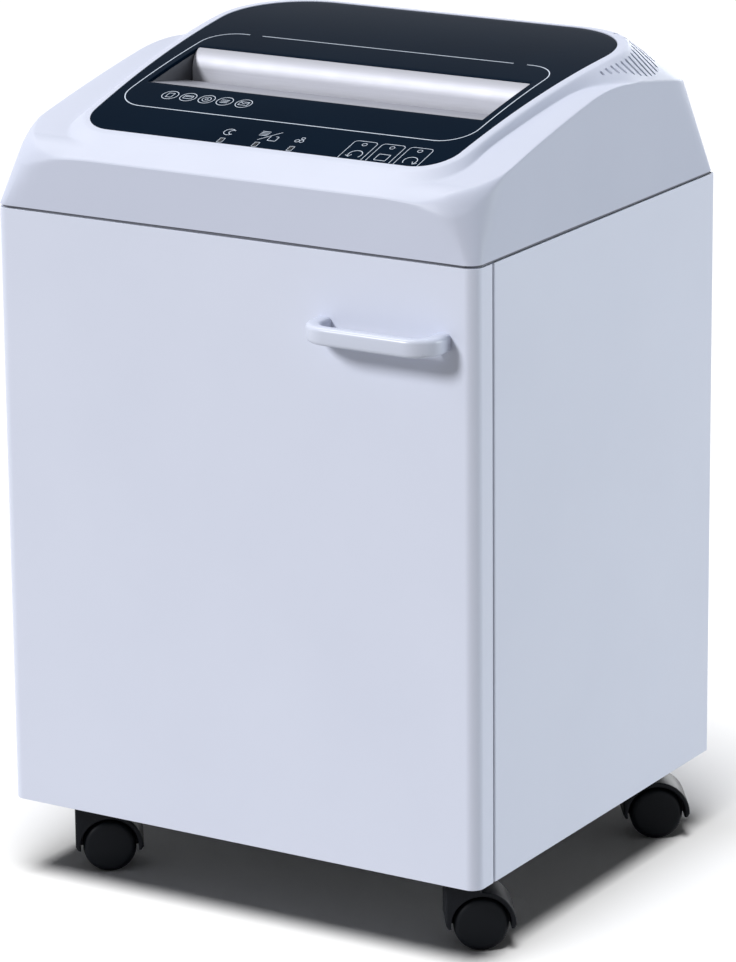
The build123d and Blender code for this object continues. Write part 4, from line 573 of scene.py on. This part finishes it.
def spread_rays(points, angle, count):
    """New ray angles: equal steps of length and turning along each row of hits, evened out between rows."""
    step = np.diff(points, axis=1)
    length = np.linalg.norm(step, axis=2)
    ahead = step / np.maximum(length, 1e-9)[..., None]
    bend = np.arccos(np.clip(np.sum(ahead[:, 1:] * ahead[:, :-1], 2), -1, 1))
    cost = length / STEP_LENGTH + np.pad(np.degrees(bend) / STEP_TURN, ((0, 0), (1, 0)))
    total = np.pad(np.cumsum(cost, 1), ((0, 0), (1, 0)))
    aim = np.linspace(0, 1, count)
    spread = np.array([np.interp(aim * t[-1], t, a) for t, a in zip(total, angle)])
    return np.mean([np.roll(spread, step, 0) for step in range(-3, 4)], 0)


print(f"each ray ends within {REACH / 2 ** HALVINGS:.0e} mm of the skin")

# %% Outlines of the seat and the foot
ROUND_STEPS = (36, 44)


def rounded_outline(corners, radii, arc_steps, edge_steps):
    """Closed outline: at each corner an arc between the two edges, then the edge to the next corner."""
    corners = np.array(corners, float)
    before = np.roll(corners, 1, 0) - corners
    after = np.roll(corners, -1, 0) - corners
    before /= np.linalg.norm(before, axis=1)[:, None]
    after /= np.linalg.norm(after, axis=1)[:, None]
    half = np.arccos(np.sum(before * after, 1)) / 2
    reach = np.array(radii) / np.tan(half)
    middle = before + after
    middle *= (np.array(radii) / np.sin(half) / np.linalg.norm(middle, axis=1))[:, None]
    centre = corners + middle
    start = corners + before * reach[:, None]
    end = corners + after * reach[:, None]
    t = np.linspace(0, 1, arc_steps)[None, :, None]
    sweep = (np.pi - 2 * half)[:, None, None]
    a, b = (start - centre)[:, None], (end - centre)[:, None]
    arcs = centre[:, None] + (a * np.sin((1 - t) * sweep) + b * np.sin(t * sweep)) / np.sin(sweep)
    u = np.linspace(0, 1, edge_steps + 2)[None, 1:-1, None]
    edges = end[:, None] * (1 - u) + np.roll(start, -1, 0)[:, None] * u
    return np.concatenate([arcs, edges], 1).reshape(-1, 2)


seat = rounded_outline(PANEL_CORNERS, PANEL_RADII, *ROUND_STEPS)
foot_corners = [(-SIDE, FRONT), (SIDE, FRONT), (SIDE, BACK), (-SIDE, BACK)]
foot = rounded_outline(foot_corners, [CORNER] * 4, *ROUND_STEPS)
print("seat of the panel and foot of the lid", len(seat), "points each")

# %% Skin of the lid
LID_WALL, LID_DROP, RAY_RISE = 3, 5, 18
FAN_RAYS, OUTER_RINGS, INNER_RINGS = 420, 128, 30

origin = np.column_stack([seat, np.full(len(seat), LID_BASE + RAY_RISE)])[:, None]
ahead = np.column_stack([foot - seat, np.zeros(len(seat))])
span = np.linalg.norm(ahead, axis=1)
ahead = (ahead / span[:, None])[:, None]
lowest = -np.arctan2(RAY_RISE, span)[:, None]
fan = np.pi / 2 + (lowest - np.pi / 2) * np.linspace(0, 1, FAN_RAYS)[None, :]


def lid_skin(wall, drop, count):
    """Hits of an even fan, then of a fan with more rays where the first hits turn."""
    first = cast(origin, ahead, fan, wall, drop)
    return cast(origin, ahead, spread_rays(first, fan, count), wall, drop)


outer = lid_skin(0, 0, OUTER_RINGS)
inner = lid_skin(LID_WALL, LID_DROP, INNER_RINGS)
print("lid skin", outer.shape[:2], "points outside,", inner.shape[:2], "inside")

# %% Ledge, tongue and whole lid
# The ledge under the panel and the tongue in the cabinet are the seat and the foot, scaled inwards.
LEDGE_SCALE, TONGUE_OUT, TONGUE_IN, TONGUE_FOOT = (0.94, 0.935), 0.992, 0.986, TOP + 0.2

ledge_plan = seat * np.array(LEDGE_SCALE)
shelf = [(seat, PANEL_THICK), (ledge_plan, PANEL_THICK), (ledge_plan, LID_DROP)]
rings = [np.column_stack([plan, panel_height(plan[:, 1]) - deep])[:, None] for plan, deep in shelf]
tongue_steps = [(TONGUE_OUT, LID_BASE), (TONGUE_OUT, TONGUE_FOOT), (TONGUE_IN, TONGUE_FOOT)]
tongue = [np.column_stack([foot * share, np.full(len(foot), z)])[:, None] for share, z in tongue_steps]
skin = np.concatenate([outer, *tongue, inner[:, ::-1], *rings[::-1]], 1)
lid_cover = make_piece("lid_cover", [ring_shell(skin)], "cabinet", "lid_plastic", replaces=("lid",))

# %% [markdown]
# ## Louvres
# Slots on both shoulders let the motor's heat out. They could be dark stripes, but a real slot shows the
# wall's thickness when it is seen from the side, so rounded cutters are taken out of the moulding.

# %% Cutting


def cut_away(made, shells, crease=35, overlaps=False):
    """Takes closed shells out of a piece, whose own shells may overlap; the cutter is thrown away."""
    cutter = bpy.data.objects.new("cutter", shell_mesh("cutter", shells))
    SCENE.collection.objects.link(cutter)
    cut = made.modifiers.new("cut", "BOOLEAN")
    cut.object = cutter
    cut.use_self = overlaps
    bpy.context.view_layer.update()
    whole = bpy.data.meshes.new_from_object(made.evaluated_get(bpy.context.evaluated_depsgraph_get()))
    made.modifiers.clear()
    made.data = whole
    shade(whole, crease)
    bpy.data.meshes.remove(cutter.data)
    print(made.name, "cut", len(shells), "times,", len(whole.polygons), "faces")


def along_z(loop, z0, z1):
    """A closed (x, y) profile carried from z0 to z1."""
    z = np.array([z0, z1])[:, None]
    return np.stack(np.broadcast_arrays(loop[None, :, 0], loop[None, :, 1], z), -1)


# %% Louvres
LOUVRES, LOUVRE_WIDTH, LOUVRE_PITCH, FIRST_LOUVRE = 13, 2.8, 6.9, 47.0
LOUVRE_GAP, LOUVRE_LIMIT, CUT_LOW, CUT_HIGH = 4, 191, TOP + 80, TOP + 115


def box_outline(x0, x1, y0, y1, radius, steps=6):
    """Rectangle with rounded corners."""
    return rounded_outline([(x0, y0), (x1, y0), (x1, y1), (x0, y1)], [radius] * 4, steps, 1)


order = np.arange(LOUVRES)
louvre_y = FIRST_LOUVRE + LOUVRE_PITCH * order
far_y = louvre_y + LOUVRE_WIDTH
side_x = FRONT_HALF + (BACK_HALF - FRONT_HALF) * (far_y - PANEL_FRONT) / (PANEL_BACK - PANEL_FRONT)
into_corner = np.maximum(far_y - PANEL_BACK + BACK_RADIUS, 0)
louvre_top = side_x + RIM + LOUVRE_GAP - BACK_RADIUS + np.sqrt(BACK_RADIUS ** 2 - into_corner ** 2)
louvre_foot = np.minimum(louvre_top + 4 + 2 * order, LOUVRE_LIMIT)
slots = []
for side in (-1, 1):
    for y0, y1, x0, x1 in zip(louvre_y, far_y, louvre_top, louvre_foot):
        low_x, high_x = sorted((side * x0, side * x1))
        plan = box_outline(low_x, high_x, y0, y1, LOUVRE_WIDTH / 2 - 0.01)
        slots.append(tube_shell(along_z(plan, CUT_LOW, CUT_HIGH)))
cut_away(lid_cover, slots)

# %% [markdown]
# ## Control panel
# The panel is a bent plate with the feed slot cut through it. A plate with a hole could be cut with a
# Boolean; here rings run from the slot outwards, so the surface stays clean right to its rounded edges.

# %% Panel plate
SLOT_HALF, SLOT_FRONT, SLOT_BACK, SLOT_RADIUS = 140.7, -64.5, 5.0, 0.8
PANEL_GAP, PANEL_EDGE = 0.35, 0.35
EDGE_ROWS, TOP_ROWS, UNDER_ROWS = 5, 26, 8


def arc_plate(inner_plan, outer_plan, thick, edge):
    """Rings of a plate on the panel's arc: up the slot's edge, outwards on top, down the rim, back below."""
    turn = np.linspace(0, np.pi / 2, EDGE_ROWS)
    step, deep = edge * (1 - np.sin(turn)), edge * (1 - np.cos(turn))
    out, back = np.linspace(0, 1, TOP_ROWS)[1:-1], np.linspace(1, 0, UNDER_ROWS)
    share = np.concatenate([np.zeros(EDGE_ROWS), out, np.ones(EDGE_ROWS), back])
    depth = np.concatenate([deep[::-1], np.zeros(len(out)), deep, np.full(UNDER_ROWS, thick)])
    nudge = np.concatenate([step[::-1], np.zeros(len(out)), -step, np.zeros(UNDER_ROWS)])
    across = outer_plan - inner_plan
    unit = across / np.linalg.norm(across, axis=1)[:, None]
    plan = inner_plan + across * share[:, None, None] + unit * nudge[:, None, None]
    return np.concatenate([plan, (panel_height(plan[..., 1]) - depth[:, None])[..., None]], 2)


slot_corners = [(-SLOT_HALF, SLOT_FRONT), (SLOT_HALF, SLOT_FRONT), (SLOT_HALF, SLOT_BACK),
                (-SLOT_HALF, SLOT_BACK)]
slot_plan = rounded_outline(slot_corners, [SLOT_RADIUS] * 4, *ROUND_STEPS)
inset = PANEL_GAP * np.array([(1, 1), (-1, 1), (-1, -1), (1, -1)])
panel_plan = rounded_outline(PANEL_CORNERS + inset, np.array(PANEL_RADII) - PANEL_GAP, *ROUND_STEPS)
plate = arc_plate(slot_plan, panel_plan, PANEL_THICK - 0.1, PANEL_EDGE)
make_piece("panel_plate", [ring_shell(plate)], "cabinet", "panel_film", replaces=("control_panel",))

# %% [markdown]
# ## Printed marks and windows
# The marks are printed on the panel's film. A picture could carry them, but a ribbon a few hundredths of a
# millimetre high stays sharp at any distance. Every mark is a path on the panel, given a width. The three
# windows are small lenses let into the film; they are stepped, so that their edges catch the light.

# %% Ribbons
INK_HIGH, INK_DEEP = 0.06, 0.1


def on_panel(plan, lift):
    """Points of a plan laid on the panel's arc, lifted a little."""
    return np.concatenate([plan, (panel_height(plan[..., 1]) + lift)[..., None]], -1)


def ribbon(path, width, closed=False):
    """Printed line: four corners across each point of the path, joined along it."""
    path = np.asarray(path, float)
    ahead = np.roll(path, -1, 0) - np.roll(path, 1, 0) if closed else np.gradient(path, axis=0)
    side = np.stack([-ahead[:, 1], ahead[:, 0]], 1) / np.linalg.norm(ahead, axis=1)[:, None] * width / 2
    plan = np.stack([path + side, path - side, path - side, path + side], 1)
    grid = on_panel(plan, np.array([INK_HIGH, INK_HIGH, -INK_DEEP, -INK_DEEP]))
    return ring_shell(grid) if closed else tube_shell(grid)


def arc(x, y, radius, start, end, steps=24):
    """Part of a circle in a plane, angles in degrees."""
    a = np.radians(np.linspace(start, end, steps))
    return np.stack([x + radius * np.cos(a), y + radius * np.sin(a)], 1)


def circle(x, y, radius, width, steps=40):
    """Printed ring."""
    return ribbon(arc(x, y, radius, 0, 360, steps + 1)[:-1], width, True)


def frame_mark(x, y, half_x, half_y, radius, width):
    """Printed rounded rectangle round a middle point."""
    return ribbon(box_outline(x - half_x, x + half_x, y - half_y, y + half_y, radius), width, True)


def dash(x0, y0, x1, y1, width):
    """Printed straight line."""
    return ribbon(np.linspace((x0, y0), (x1, y1), 4), width)


print("ink stands", INK_HIGH, "mm high")

# %% Windows
# Each lens is stepped: half its width, and its height over the panel.
WINDOW_X, WINDOW_Y, WINDOW_RADIUS = (-31.0, -2.0, 27.0), -136.5, 0.5
WINDOW_HALF, WINDOW_LINE, LONGER = (1.95, 3.15), 0.34, 1.2
LENS_STEPS = [(1.8, -2.2), (1.8, 0.02), (1.6, 0.14)]

lenses, marks = [], []
for x in WINDOW_X:
    loops = []
    for w, lift in LENS_STEPS:
        plan = box_outline(x - w, x + w, WINDOW_Y - w - LONGER, WINDOW_Y + w + LONGER, WINDOW_RADIUS)
        loops.append(on_panel(plan, lift))
    lenses.append(tube_shell(np.stack(loops)))
    marks.append(frame_mark(x, WINDOW_Y, *WINDOW_HALF, WINDOW_RADIUS, WINDOW_LINE))
make_piece("window_lenses", lenses, "cabinet", "window_clear", replaces=("indicator_windows",))

# %% Frame line
# The frame line is broken twice at the back, between the inner and the outer end of each gap.
FIELD_HALF, FIELD_FRONT, FIELD_BACK, FIELD_RADIUS, FIELD_LINE = 146.5, -102.5, 39.0, 24, 0.75
FIELD_ARC, FIELD_EDGE, GAP_IN, GAP_OUT = 16, 12, 107, 118.0

field = rounded_outline([(-FIELD_HALF, FIELD_FRONT), (FIELD_HALF, FIELD_FRONT), (FIELD_HALF, FIELD_BACK),
                         (-FIELD_HALF, FIELD_BACK)], [FIELD_RADIUS] * 4, FIELD_ARC, FIELD_EDGE)
last_arc = 3 * (FIELD_ARC + FIELD_EDGE)
open_field = np.concatenate([[(-GAP_OUT, FIELD_BACK)], field[last_arc:], field[:last_arc - FIELD_EDGE],
                             [(GAP_OUT, FIELD_BACK)]])
marks.append(ribbon(open_field, FIELD_LINE))
marks.append(dash(-GAP_IN, FIELD_BACK, GAP_IN, FIELD_BACK, FIELD_LINE))
print("frame line", 2 * FIELD_HALF, "mm wide")

# %% Keys
KEYS, KEY_WIDTH, KEY_FRONT, KEY_BACK = (68.0, 90.5, 113.0), 18.8, -140.2, -115.0
KEY_RADIUS, KEY_LINE, DOT_LINE = 3.2, 0.42, 0.4
DOT_X, DOT_Y, DOT_RADIUS, SIGN_Y = 9.6, -119.4, 1.8, -133.6
TURN_RADIUS, TURN_START, LINE, THIN = 5.2, 40, 0.5, 0.45


def bent_path(corners, radii, steps):
    """Open path through corner points, each inner corner rounded with its radius."""
    corners = np.array(corners, float)
    parts = [corners[:1]]
    for last, here, following, radius in zip(corners, corners[1:], corners[2:], radii):
        loop = rounded_outline([last, here, following], [1e-6, radius, 1e-6], steps, 1)
        parts.append(loop[steps + 1:2 * steps + 1])
    return np.concatenate(parts + [corners[-1:]])


for left in KEYS:
    right = left + KEY_WIDTH
    key_corners = [(left, KEY_FRONT), (left, KEY_BACK), (right, KEY_BACK), (right, KEY_FRONT)]
    marks.append(ribbon(bent_path(key_corners, [KEY_RADIUS, KEY_RADIUS], 8), KEY_LINE))
    marks.append(circle(left + DOT_X, DOT_Y, DOT_RADIUS, DOT_LINE))
tip_angle = math.radians(TURN_START)
for x, way in ((78.4, 1), (122.9, -1)):
    sign = arc(0, 0, TURN_RADIUS, -TURN_START, 180 + TURN_START) * np.array([way, 1])
    marks.append(ribbon(np.array([x, SIGN_Y]) + sign, LINE))
    tip = np.array([x - TURN_RADIUS * way * math.cos(tip_angle), SIGN_Y - TURN_RADIUS * math.sin(tip_angle)])
    marks.append(ribbon(tip + np.array([(-2.6 * way, 1.2), (0.3 * way, -0.6), (1.6 * way, 2.6)]), LINE))
marks.append(frame_mark(100.3, SIGN_Y, 4.6, 4.2, 0.6, THIN))
print("marks so far", len(marks))

# %% Small symbols
MOON_Y, RINGS_Y, RING_RADIUS = -124.2, -81.6, 6.3
RINGS_X = (-109.8, -94.2, -78.4, -62.9, -46.7)

page_x, card_x, disc_x, stack_x, letter_x = RINGS_X
moon_line = np.concatenate([arc(-31.6, MOON_Y, 4.2, 40, 320), arc(-28.6, MOON_Y, 3.0, 295, 65)[1:-1]])
marks.append(ribbon(moon_line, LINE, True))
marks.append(dash(-4.6, -130.0, 8.4, -116.4, THIN))
for y in -123.4 + 1.9 * np.arange(4):
    marks.append(dash(-7.4, y, -0.4, y, LINE))
tray = [(3.0, -123.2), (3.0, -129.4), (9.6, -129.4), (9.6, -123.2), (7.2, -123.2)]
marks.append(ribbon(bent_path(tray, [0.6] * 3, 4), LINE))
for x, y, radius in ((25.6, -125.2, 1.7), (29.0, -125.0, 1.7), (28.4, -121.2, 1.3)):
    marks.append(circle(x, y, radius, THIN, 20))
for x in RINGS_X:
    marks.append(circle(x, RINGS_Y, RING_RADIUS, LINE))
marks.append(frame_mark(page_x, RINGS_Y, 2.4, 3.2, 0.3, THIN))
marks.append(frame_mark(card_x, RINGS_Y, 3.6, 2.3, 0.6, THIN))
marks.append(dash(card_x - 3, RINGS_Y + 0.8, card_x + 3, RINGS_Y + 0.8, LINE))
marks.append(circle(disc_x, RINGS_Y, 3.4, THIN))
marks.append(circle(disc_x, RINGS_Y, 1.1, DOT_LINE, 16))
for y in RINGS_Y + 2 * np.arange(-1, 2):
    marks.append(dash(stack_x - 3.3, y, stack_x + 3.3, y, LINE))
marks.append(frame_mark(letter_x, RINGS_Y, 3.7, 2.5, 0.3, THIN))
marks.append(ribbon([(letter_x - 3.3, -79.6), (letter_x, -82.0), (letter_x + 3.3, -79.6)], THIN))
make_piece("panel_marks", marks, "cabinet", "panel_film", finish="panel_ink")

# %% [markdown]
# ## Feed throat
# Behind the slot stands a satin silver guide that bulges up to the panel; in front of it a ramp leads the
# paper down to the slit. Flat sheets could be bent with modifiers, but both keep one section from end to
# end, so each is a profile, drawn with its true radii and carried along the slot.

# %% Guide
CLEARANCE, SHEET_FOOT = 0.4, TOP + 57
BULGE_RADIUS, BULGE_RISE, BULGE_Y = 15.0, 14, 9


def along_x(loop, x0, x1):
    """A closed (y, z) profile carried from x0 to x1."""
    x = np.array([x0, x1])[:, None]
    return np.stack(np.broadcast_arrays(x, loop[None, :, 0], loop[None, :, 1]), -1)


def soften(made, width):
    """Breaks the sharp edges of a piece with a narrow rounded bevel."""
    bevel = made.modifiers.new("soft_edge", "BEVEL")
    bevel.width = width * MM
    bevel.segments = 2
    bevel.limit_method = "ANGLE"
    bevel.angle_limit = math.radians(50)
    bevel.harden_normals = True


guide_end = SLOT_HALF - CLEARANCE
guide_top = panel_height(SLOT_BACK) - CLEARANCE
bulge_foot = guide_top - BULGE_RISE
rise = BULGE_RISE * np.sin(np.linspace(0, np.pi / 2, 24))
bulge = np.stack([BULGE_Y - np.sqrt(BULGE_RADIUS ** 2 - rise ** 2), bulge_foot + rise], 1)
flange = guide_top - PANEL_THICK
back_of_guide = [(4.6, guide_top), (4.6, flange), (10, flange), (10, flange - 2), (2, flange - 2),
                 (-4, bulge_foot), (-4, SHEET_FOOT), (-6, SHEET_FOOT)]
guide_loop = np.concatenate([bulge, back_of_guide])
guide = make_piece("guide_wall", [tube_shell(along_x(guide_loop, -guide_end, guide_end))], "cabinet",
                   "guide_silver", replaces=("feed_guide",))
soften(guide, 0.3)
keep_off(not_throat, guide)

# %% Ramp
RAMP_FOOT_Y, RAMP_BEND_Z, RAMP_BEND, RAMP_SHEET = -12.0, TOP + 69.5, 3.0, 2.0


def sheet_loop(path, thick):
    """Closed profile of a bent sheet: the path, then back along it moved by the thickness to its left."""
    step = np.gradient(path, axis=0)
    step /= np.linalg.norm(step, axis=1)[:, None]
    side = np.stack([-step[:, 1], step[:, 0]], 1)
    return np.concatenate([path, (path + side * thick)[::-1]])


ramp_path = bent_path([(SLOT_FRONT + CLEARANCE, panel_height(SLOT_FRONT) - CLEARANCE),
                       (RAMP_FOOT_Y, RAMP_BEND_Z), (RAMP_FOOT_Y, SHEET_FOOT)], [RAMP_BEND], 12)
ramp = tube_shell(along_x(sheet_loop(ramp_path, -RAMP_SHEET), -guide_end, guide_end))
# Its finish is the guide's silver, darkened as painted shade.
make_piece("lip_ramp", [ramp], "cabinet", "guide_silver", finish="ramp_shaded_silver", crease=50,
           replaces=("feed_lip",))

# %% [markdown]
# ## Cabinet and door
# Both are folded steel sheet. A box with bevelled edges would be too solid: the fold radius, the return of
# the door and the dark gap behind it show that it is sheet. So the folded path is drawn and given its
# thickness.

# %% Cabinet
SHEET, SHELL_FRONT, RETURN_HALF, FLANGE, SOFT_EDGE = 1.5, -151.55, 184.5, 14, 0.4
POWER_X, POWER_Z = (60, 150), (455, 500)

wrap_path = bent_path([(RETURN_HALF, SHELL_FRONT), (SIDE, SHELL_FRONT), (SIDE, BACK), (-SIDE, BACK),
                       (-SIDE, SHELL_FRONT), (-RETURN_HALF, SHELL_FRONT)], [1.8, 4.0, 4.0, 1.8], 12)
inside, rear = SIDE - SHEET, BACK - SHEET
rail_front = SHELL_FRONT + SHEET
lip_half, lip_rear = inside - FLANGE, rear - FLANGE
top_flange = np.array([(inside, rail_front), (inside, rear), (-inside, rear), (-inside, rail_front),
                       (-lip_half, rail_front), (-lip_half, lip_rear), (lip_half, lip_rear),
                       (lip_half, rail_front)])
folds = [tube_shell(along_z(sheet_loop(wrap_path, SHEET), BASE, TOP)),
         tube_shell(along_z(top_flange, TOP - SHEET, TOP))]
cabinet = make_piece("cabinet_wrap", folds, "cabinet", "cabinet_paint", replaces=("cabinet_shell",))
power_hole = along_z(box_outline(*POWER_X, rear - 5, BACK + 5, 0.1), *POWER_Z)
cut_away(cabinet, [tube_shell(power_hole)])
soften(cabinet, SOFT_EDGE)

# %% Door
DOOR_DEPTH = 23.0
door_rear = FRONT + DOOR_DEPTH
door_corners = [(-SIDE, door_rear), (-SIDE, FRONT), (SIDE, FRONT), (SIDE, door_rear)]
door_path = bent_path(door_corners, [CORNER, CORNER], 24)
door_loop = sheet_loop(door_path, SHEET)
pan_edge = door_loop[len(door_path):]
door = [tube_shell(along_z(door_loop, BASE, TOP)), tube_shell(along_z(pan_edge, BASE, BASE + SHEET)),
        tube_shell(along_z(pan_edge, TOP - SHEET, TOP))]
door_skin = make_piece("door_skin", door, "door", "cabinet_paint", replaces=("door_panel",))
soften(door_skin, SOFT_EDGE)

# %% [markdown]
# ## Handle
# The handle is a bow of moulded plastic, screwed on from inside. It could be cut from a block; here a
# rounded rectangle is carried along the bow's path and made a little wider on the posts than on the bar.

# %% Handle
BOW_LEFT, BOW_RIGHT, BOW_Y, BOW_Z, BOW_RADIUS, POST_SPREAD = 78.5, 174.5, -202.25, 458.5, 16.0, 0.33
BAR_DEEP, BAR_HIGH, BAR_RADIUS = 4.5, 6.5, 3.0

bow = bent_path([(BOW_LEFT, FRONT), (BOW_LEFT, BOW_Y), (BOW_RIGHT, BOW_Y), (BOW_RIGHT, FRONT)],
                [BOW_RADIUS, BOW_RADIUS], 22)
bow_ahead = np.gradient(bow, axis=0)
bow_ahead /= np.linalg.norm(bow_ahead, axis=1)[:, None]
section = box_outline(-BAR_DEEP, BAR_DEEP, -BAR_HIGH, BAR_HIGH, BAR_RADIUS, 8)
wide = 1 + POST_SPREAD * bow_ahead[:, 1] ** 2
across = np.stack([-bow_ahead[:, 1], bow_ahead[:, 0]], 1) * wide[:, None]
bow_plan = bow[:, None] + across[:, None] * section[None, :, :1]
bow_high = np.broadcast_to(BOW_Z + section[None, :, 1:], bow_plan.shape[:2] + (1,))
make_piece("bow_handle", [tube_shell(np.concatenate([bow_plan, bow_high], 2))], "door", "handle_finish",
           replaces=("door_handle",))

# %% [markdown]
# ## Casters
# A twin-wheel caster has a hood like a half moon over two domed wheels, and trails behind its stem. It could
# be put together from cylinders and bevelled. Here the hood is a loop drawn in the side view and carried
# across, and the wheels are turned profiles, so that the rounded rims are part of the shape. Only the holes
# for the axle and the stem are cut.

# %% Caster helpers
TRAIL, AXLE_Z, CASTER_YAW = 14.0, 20.0, math.radians(34.8)


def pillow(loop, half, radius):
    """A closed loop carried across from -half to half, its rims rounded by moving the loop inwards."""
    ahead = np.roll(loop, -1, 0) - np.roll(loop, 1, 0)
    inward = np.stack([-ahead[:, 1], ahead[:, 0]], 1) / np.linalg.norm(ahead, axis=1)[:, None]
    x, z = loop[:, 0], loop[:, 1]
    inward *= np.sign(np.sum(x * np.roll(z, -1) - z * np.roll(x, -1)))
    turn = np.linspace(0, np.pi / 2, 6)
    inset = radius * (1 - np.sin(turn))
    across = half - radius * (1 - np.cos(turn))
    across, inset = np.concatenate([-across, across[::-1]]), np.concatenate([inset, inset[::-1]])
    flat = loop + inward * inset[:, None, None]
    return np.stack([flat[..., 0], np.broadcast_to(across[:, None], flat.shape[:2]), flat[..., 1]], -1)


def turned(profile, x, z, steps=56):
    """A profile of (across, radius) turned round an axle that lies across at x, z."""
    a = np.linspace(0, 2 * np.pi, steps, endpoint=False)
    across, radius = profile[:, :1], profile[:, 1:]
    return np.stack(np.broadcast_arrays(x + radius * np.cos(a), across, z + radius * np.sin(a)), -1)


def set_caster(grid, place):
    """Turns a caster surface to its rest direction and moves it to its stem."""
    c, s = math.cos(CASTER_YAW), math.sin(CASTER_YAW)
    x, w = grid[..., 0], grid[..., 1]
    return np.stack([place[0] + c * x - s * w, place[1] + s * x + c * w, grid[..., 2]], -1)


print("casters turned by", round(math.degrees(CASTER_YAW), 1), "degrees at rest")

# %% Caster outlines
HOOD_RADIUS, WELL_RADIUS, WEB_RADIUS, TIP_Z = 25.5, 21.8, 23.0, 17.0
CROWN_TOP, NOSE_X = 57.5, -11.5

well_turn = (187.9, -7.9, 40)
crown = bent_path([(TRAIL, AXLE_Z + HOOD_RADIUS), (8.0, CROWN_TOP), (-5.75, CROWN_TOP), (NOSE_X, 51.75),
                   (NOSE_X, AXLE_Z), (-9.5, TIP_Z)], [3.0, 3.0, 4.0, 2.0], 6)
moon = np.concatenate([[(37.5, TIP_Z)], arc(TRAIL, AXLE_Z, HOOD_RADIUS, 0, 90, 18)[:-1], crown,
                       arc(TRAIL, AXLE_Z, WELL_RADIUS, *well_turn)])
web = arc(TRAIL, AXLE_Z, WEB_RADIUS, *well_turn)
rim_turn = np.linspace(0, np.pi / 2, 9)
tread = np.concatenate([
    [(3.2, 4.0), (3.2, 18.8), (3.8, 19.7), (4.6, 20.0)],
    np.stack([12.3 + 4.5 * np.sin(rim_turn), 15.5 + 4.5 * np.cos(rim_turn)], 1),
    [(16.9, 12.5), (17.0, 9.0), (17.05, 5.0), (17.05, 0.4)]])
mirror = np.array([-1, 1])
axle = np.array([(-12.0, 3.0), (12.0, 3.0)])
boss = np.array([(-2.5, 7.5), (2.5, 7.5)])
bore = np.array([(-4.0, 3.3), (4.0, 3.3)])
stem = arc(0, 0, 4.3, 0, 360, 25)[:-1]
print("hood outline", len(moon), "points, wheel profile", len(tread))

# %% Hoods and wheels
STEM_X, STEM_Y, STEM_LOW, STEM_HIGH = 160.6, 133.15, 41.2, 60
HOOD_HALF, HOOD_RIM, WEB_HALF, WEB_RIM = 17.5, 1.3, 2.5, 0.4

places = {"rear_left": (-STEM_X, STEM_Y), "front_left": (-STEM_X, -STEM_Y),
          "rear_right": (STEM_X, STEM_Y), "front_right": (STEM_X, -STEM_Y)}
for corner, place in places.items():
    parts = [pillow(moon, HOOD_HALF, HOOD_RIM), pillow(web, WEB_HALF, WEB_RIM),
             turned(boss, TRAIL, AXLE_Z)]
    hood = make_piece(corner + "_hood", [tube_shell(set_caster(part, place)) for part in parts],
                      corner + "_caster", "caster_plastic", crease=40, replaces=(corner + "_caster_hood",))
    holes = [turned(bore, TRAIL, AXLE_Z, 32), along_z(stem, STEM_LOW, STEM_HIGH)]
    cut_away(hood, [tube_shell(set_caster(hole, place)) for hole in holes], crease=40, overlaps=True)
    parts = [turned(tread, TRAIL, AXLE_Z), turned(tread * mirror, TRAIL, AXLE_Z),
             turned(axle, TRAIL, AXLE_Z, 32)]
    make_piece(corner + "_wheel_pair", [tube_shell(set_caster(part, place)) for part in parts],
               corner + "_wheels", "wheel_tread", crease=40, replaces=(corner + "_caster_wheels",))
